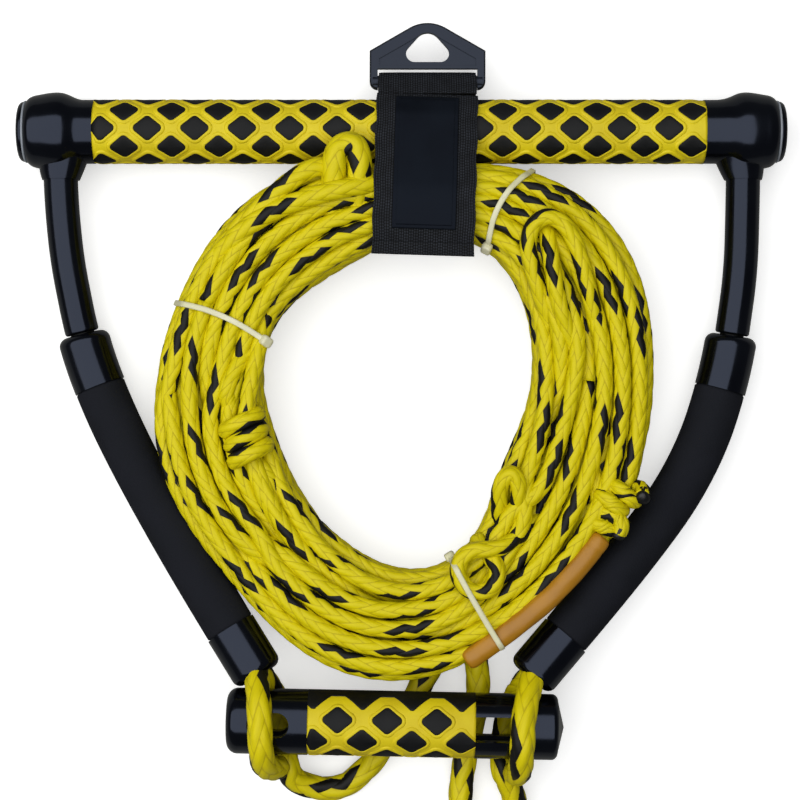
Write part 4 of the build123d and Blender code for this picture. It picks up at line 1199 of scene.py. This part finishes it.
    def solid_band(self) -> bpy.types.Object:
        """Black band between two zigzag borders, where its radius falls in to the sleeve."""
        x = np.linspace(self.left, self.right, int((self.right - self.left) / 0.6))
        # the front border follows the first row of pads, the back one the sixth
        front = self.border(x, 0, *self.band[:2])
        back = self.border(x, 5, *self.band[2:])
        share = np.concatenate([[0.0, 0.0], np.linspace(0.012, 0.988, 26), [1.0, 1.0]])
        angle = back[:, None] + (front - back)[:, None] * share[None]
        drop = np.zeros(len(share))
        drop[[0, -1]], drop[[1, -2]] = self.band_thick, 0.25
        outer = self.laid(x[:, None], angle, self.pad_r - np.broadcast_to(drop[None], angle.shape))
        inner = self.laid(x[:, None], angle[:, ::-1], np.full_like(angle, self.pad_r - self.band_thick))
        grid = np.concatenate([outer, inner[:, 1:-1]], axis=1)[::-1]
        return grid_object(self.name + "_band", grid, x / 100)

    def build(self, body: str) -> None:
        """Makes the sleeve, a collar round every spot and the pads, in place of the plain ones."""
        dress(self.sleeve(), GRIP_YELLOW.material(), self.name + "_sleeve", body=body)
        dress(self.diamonds("_collars", self.collar_levels, False), GRIP_YELLOW.material(), body=body)
        pads = self.diamonds("_diamonds", self.pad_levels, True)
        dress(pads, PAD_BLACK.material(), self.name + "_pads", body=body)
        if self.band:
            dress(self.solid_band(), PAD_BLACK.material(), body=body)
        LOG.info("%s: %d pads", self.name, self.rows_and_spots()[..., 2].sum())


@dataclass
class Strap:
    """Webbing strap: loop round bar and hanger, tape round the coil, skewed flap with patch and hook tape.

    Every layer is one flat profile carried along its own line in an upright plane."""
    x: float = 12.9                 # middle of the strap
    width: float = 48.8
    wrap_width: float = 41.0        # the tape under the coil
    thick: float = 1.4
    bar: tuple[float, float] = BAR_AXIS
    tab_bar_y: float = 153.3        # the hanger's crossbar
    bar_wrap: float = 17.0          # radius of the webbing's middle round the bar
    loop_wrap: float = 4.0          # and round the crossbar
    tape_bottom: float = 1.3        # heights of the tape under and over the coil
    tape_top: float = 45.1
    wrap_y: float = 68.4            # where the tape stands up inside the ring
    flap_z: float = 47.7            # height of the flap's level part, which starts at the knee
    knee_y: float = 96.5
    flap_end: tuple[float, float] = (65.4, 43.4)
    skew: float = -1.8              # degrees that the flap hangs askew
    seam_gap: float = 1.15          # from the seam to the flap's first point
    seam_share: float = 0.51        # the seam's place on the straight run from crossbar to bar

    @staticmethod
    def arc(centre: tuple[float, float], radius: float, start: float, stop: float) -> np.ndarray:
        """Points of an arc in the upright plane.

        Args:
            centre: y and z.
            radius: of the arc.
            start, stop: degrees from +Y towards +Z.
        Returns:
            The points, y and z.
        """
        count = max(4, int(abs(stop - start) * radius / 40))
        a = np.radians(np.linspace(start, stop, count))
        return np.stack([centre[0] + radius * np.cos(a), centre[1] + radius * np.sin(a)], axis=1)

    @staticmethod
    def bends(points: list[tuple[float, float]], radii: list[float]) -> np.ndarray:
        """Straight runs of webbing with an arc at every bend, touching both runs.

        Args:
            points: the ends and, between them, the corners.
            radii: one for each corner.
        Returns:
            Points of the line, y and z.
        """
        p = [np.array(q, dtype=float) for q in points]
        out = [p[0][None]]
        for before, at, after, radius in zip(p, p[1:], p[2:], radii):
            a, b = (before - at) / np.linalg.norm(before - at), (after - at) / np.linalg.norm(after - at)
            half = math.acos(float(np.clip(a @ b, -1, 1))) / 2
            middle = at + (a + b) / np.linalg.norm(a + b) * radius / math.sin(half)
            first, last = at + a * radius / math.tan(half), at + b * radius / math.tan(half)
            t = np.linspace(0, 1, 14)[:, None]
            turn = np.pi - 2 * half
            way = (first - middle) * np.sin((1 - t) * turn) + (last - middle) * np.sin(t * turn)
            out.append(middle + way / math.sin(turn))
        out.append(p[-1][None])
        return np.vstack(out)

    @staticmethod
    def even(line: np.ndarray, step: float) -> tuple[np.ndarray, np.ndarray]:
        """The same line at even steps.

        Args:
            line: points, y and z.
            step: distance from one new point to the next.
        Returns:
            The new points and the distance of each along the line.
        """
        run = distances(line)
        keep = np.concatenate([[True], np.diff(run) > 1e-6])
        run, line = run[keep], line[keep]
        at = np.linspace(0, run[-1], max(3, int(run[-1] / step)))
        return np.stack([np.interp(at, run, line[:, 0]), np.interp(at, run, line[:, 1])], axis=1), at

    def layer(self, name: str, finish: MouldedFinish | WebbingFinish, node: str | None, line: np.ndarray,
              width: float, thick: float, lift: float = 0.0, start: float = 0.0, stop: float = math.inf,
              edge: float = 0.0, hanging: bool = False) -> bpy.types.Object:
        """A flat band with rounded edges along a line of the upright plane.

        The section is the curve (w/2 cos t, h/2 sin t) with the cosine and sine raised to a small power, so
        it is flat above and below and round at its two edges, which wander a little as woven selvedges do.

        Args:
            name: the piece's name.
            finish: what it is made of.
            node: the frame's node that it stands in for, if any.
            line: y and z of the layer's middle line, millimetres.
            width, thick: its size.
            lift: how far it stands off the line, outwards.
            start, stop: distances along the line between which it lies.
            edge: how far the selvedges wander.
            hanging: moves with the flap, and hangs askew about the upright through the seam.
        Returns:
            The piece.
        """
        line, at = self.even(line, 0.8)
        inside = (at >= start) & (at <= stop)
        line, at = line[inside], at[inside]
        along = np.gradient(line, axis=0)
        along /= np.linalg.norm(along, axis=1, keepdims=True)
        normal = np.stack([-along[:, 1], along[:, 0]], axis=1)
        line = line + normal * lift
        cos, sin = np.cos(circle(64)), np.sin(circle(64))
        flat = np.sign(cos) * np.abs(cos) ** 0.55 * width / 2
        rise = np.sign(sin) * np.abs(sin) ** 0.22 * thick / 2
        wave = 1 + edge / width * 2 * np.sin(at * 0.31)[:, None] * np.abs(cos)[None]
        turn = math.radians(self.skew if hanging else 0.0)
        across = np.array([math.cos(turn), math.sin(turn)])
        forward = np.array([-math.sin(turn), math.cos(turn)])
        base_y = self.seam()[0] if hanging else 0.0
        s = line[:, 0:1] + normal[:, 0:1] * rise[None] - base_y
        z = line[:, 1:2] + normal[:, 1:2] * rise[None]
        w = flat[None] * wave
        grid = np.stack([self.x + w * across[0] + s * forward[0],
                         base_y + w * across[1] + s * forward[1], z], axis=2) + SHIFT
        piece = grid_object(name, grid[:, ::-1], at * MM, np.concatenate([flat[::-1], flat[-1:]]) * MM)
        dress(piece, finish.material(), *([node] if node else []), body="flap" if hanging else "handle")
        return piece

    def lean(self) -> float:
        """Slope, in radians, of the line that touches the hanger's crossbar and the bar."""
        return math.asin((self.bar_wrap - self.loop_wrap) / (self.tab_bar_y - self.bar[0]))

    def seam(self) -> tuple[float, float]:
        """Where the flap is sewn to the loop: on the line that touches crossbar and bar on top."""
        lean = self.lean()
        way = np.array([math.sin(lean), math.cos(lean)])
        a = np.array([self.tab_bar_y, self.bar[1]]) + way * self.loop_wrap
        b = np.array(self.bar) + way * self.bar_wrap
        return tuple(a + (b - a) * self.seam_share)

    def build(self) -> None:
        """Makes the four layers of webbing, the patch and the hook tape."""
        lean = math.degrees(self.lean())
        loop = (self.tab_bar_y, self.bar[1])
        seam = self.seam()
        # from the seam round the crossbar, under the bar and down to the floor
        under_bar = self.arc(self.bar, self.bar_wrap, lean - 90, -94.0)
        back_line = np.vstack([[seam], self.arc(loop, self.loop_wrap, 90 - lean, lean - 90), under_bar,
                               self.bends([tuple(under_bar[-1]), (109.0, self.tape_bottom),
                                           (90.0, self.tape_bottom)], [30.0])[1:]])
        back = self.layer("strap_back_webbing", WEBBING, "strap_back", back_line, self.width, self.thick,
                          edge=0.25)
        # under the ring of turns, up inside it and back over it to the knee
        wrap_line = self.bends([(90.2, self.tape_bottom), (self.wrap_y, self.tape_bottom),
                                (self.wrap_y, self.tape_top), (self.knee_y - 3.0, self.tape_top)], [9.0, 9.0])
        wrap = self.layer("strap_wrap_webbing", WEBBING, "strap_wrap", wrap_line, self.wrap_width, self.thick,
                          edge=0.2)
        # the flap lies 0.6 mm over the loop and starts just past the seam
        flap_wrap = self.bar_wrap + 0.6
        step = self.seam_gap * np.array([-math.cos(math.radians(lean)), math.sin(math.radians(lean))])
        bar_arc = self.arc(self.bar, flap_wrap, 90 - lean, 72.0)
        first = np.array(seam) + step + bar_arc[0] - self.arc(self.bar, self.bar_wrap, 90 - lean, 80.0)[0]
        # from the bar down to the knee, then level, and drooping at its end
        hang = self.bends([tuple(bar_arc[-1]), (self.knee_y, self.flap_z), (78.0, self.flap_z),
                           self.flap_end], [24.0, 12.0])
        flap_line = np.vstack([[first], bar_arc, hang[1:]])
        length = float(distances(flap_line)[-1])
        wide = self.width + 1.2
        # width, thickness, height over the flap's line, from and to along it, and the selvedge's wander
        flap, patch, panel, hooks, hem = (
            self.layer(name, finish, node, flap_line, *sizes, hanging=True)
            for name, finish, node, *sizes in (
                ("strap_flap_webbing", WEBBING, "strap_flap", wide, self.thick, 0.0, 0.0, math.inf, 0.3),
                ("strap_patch_plain", PATCH, "strap_patch", 31.0, 0.8, -1.1, 2.0, length - 12.5),
                ("strap_patch_panel", PATCH, None, 27.2, 0.5, -1.5, 4.0, length - 14.4),
                ("strap_hook_tape", HOOKS, "hook_tape", 40.0, 0.9, 1.15, length - 30.5, length - 17.0),
                ("strap_hem", WEBBING, None, wide, 1.0, -1.05, length - 6.5, length, 0.2)))
        LOG.info("strap: flap %.0f mm long", length)


@dataclass
class Studio:
    """Plain pale floor, one large soft panel of light and a camera straight above."""
    centre: tuple[float, float] = (-0.75, -5.01)
    height: float = 1119.0
    lens: float = 99.0
    floor_half: float = 2500.0
    panel_at: tuple[float, float, float] = (-1.0, 0.15, 1.35)      # metres, as the next
    panel_size: tuple[float, float] = (3.4, 2.4)
    panel_watts: float = 46.0

    def build(self) -> None:
        """Places the camera, the floor, the panel and the faint sky."""
        scene = bpy.context.scene
        scene.view_settings.view_transform = "Standard"
        camera = bpy.data.objects.new("camera", bpy.data.cameras.new("camera"))
        camera.data.lens = self.lens
        camera.data.sensor_width = 36.0
        camera.data.clip_start = 0.01
        camera.location = (self.centre[0] * MM, self.centre[1] * MM, self.height * MM)
        scene.collection.objects.link(camera)
        scene.camera = camera
        side = np.array([[-1, -1, 0], [1, -1, 0], [1, 1, 0], [-1, 1, 0]]) * self.floor_half
        floor = mesh_object("floor", side, [np.array([[0, 1, 2, 3]])])
        material, tree, shader = new_material("white_paper")
        # white to the eye, but greyer to everything that lies on it, as on a lit sheet in a dark room
        ray = add(tree, "ShaderNodeLightPath")
        paper = add(tree, "ShaderNodeMix", {0: ray.outputs["Is Camera Ray"], 6: linear("8c8c88"),
                                            7: linear("f4f4f2")}, data_type="RGBA")
        glow = add(tree, "ShaderNodeMath", {0: ray.outputs["Is Camera Ray"], 1: 0.45}, operation="MULTIPLY")
        plug(tree, shader, {"Base Color": paper.outputs[2], "Roughness": 0.9, "Specular IOR Level": 0.0,
                            "Emission Color": linear("ffffff"), "Emission Strength": glow})
        wear(floor, material)
        lamp = bpy.data.lights.new("ceiling_panel", "AREA")
        lamp.shape = "RECTANGLE"
        lamp.size, lamp.size_y = self.panel_size
        lamp.energy = self.panel_watts
        light = bpy.data.objects.new("ceiling_panel", lamp)
        light.location = self.panel_at
        scene.collection.objects.link(light)
        world = bpy.data.worlds.new("studio")
        world.use_nodes = True
        world.node_tree.nodes["Background"].inputs[0].default_value = linear("eef2ff")
        world.node_tree.nodes["Background"].inputs[1].default_value = 0.1
        scene.world = world


def dress_frame(frame: dict) -> None:
    """Gives every carried-over node the material of the real part."""
    finishes = {
        VINYL: ("boot_", "end_plug_", "leg_sleeve_", "float_cap_", "small_end_sleeve_", "small_end_cap_"),
        TAB_PLASTIC: ("hang_tab", "small_core"), BAR: ("main_bar_tube",), THICK_ROPE: ("bridle_rope",),
    }
    for finish, names in finishes.items():
        material = finish.material()
        for name, node in frame["nodes"].items():
            if name.startswith(names):
                wear(node, material)


def main() -> None:
    """Builds the handle's sub-assemblies in order."""
    logging.basicConfig(level=logging.INFO, format="%(name)s %(message)s")
    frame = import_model()
    Studio().build()
    LOG.info("studio ready")
    dress_frame(frame)
    ropes = TowRopeCoil().build() + KnotsAndEyes().build()
    ropes.append(OrangeSleeve().build())
    CableTies(ropes).build()
    BridleEnds().build()
    for name, corners in LEGS.items():
        FoamFloat(name, corners).build()
    BootRims().build()
    DiamondGrip("main_grip", (0.0, *BAR_AXIS), left=-153.0, right=150.8, base_r=15.2, pad_r=16.0, pitch=23.4,
                rows=10, first_angle=89.5, first_x=-148.8).build("handle")
    DiamondGrip("small_grip", (0.0, -166.2, 29.0), left=-46.3, right=36.3, base_r=15.4, pad_r=16.2,
                pitch=24.3, rows=9, first_angle=77.0, first_x=-55.7, lean=-1.2, pad=(14.6, 13.2),
                band=(28.0, 58.0, -30.0, -60.0)).build("small_handle")
    Strap().build()


if __name__ == "__main__":
    main()
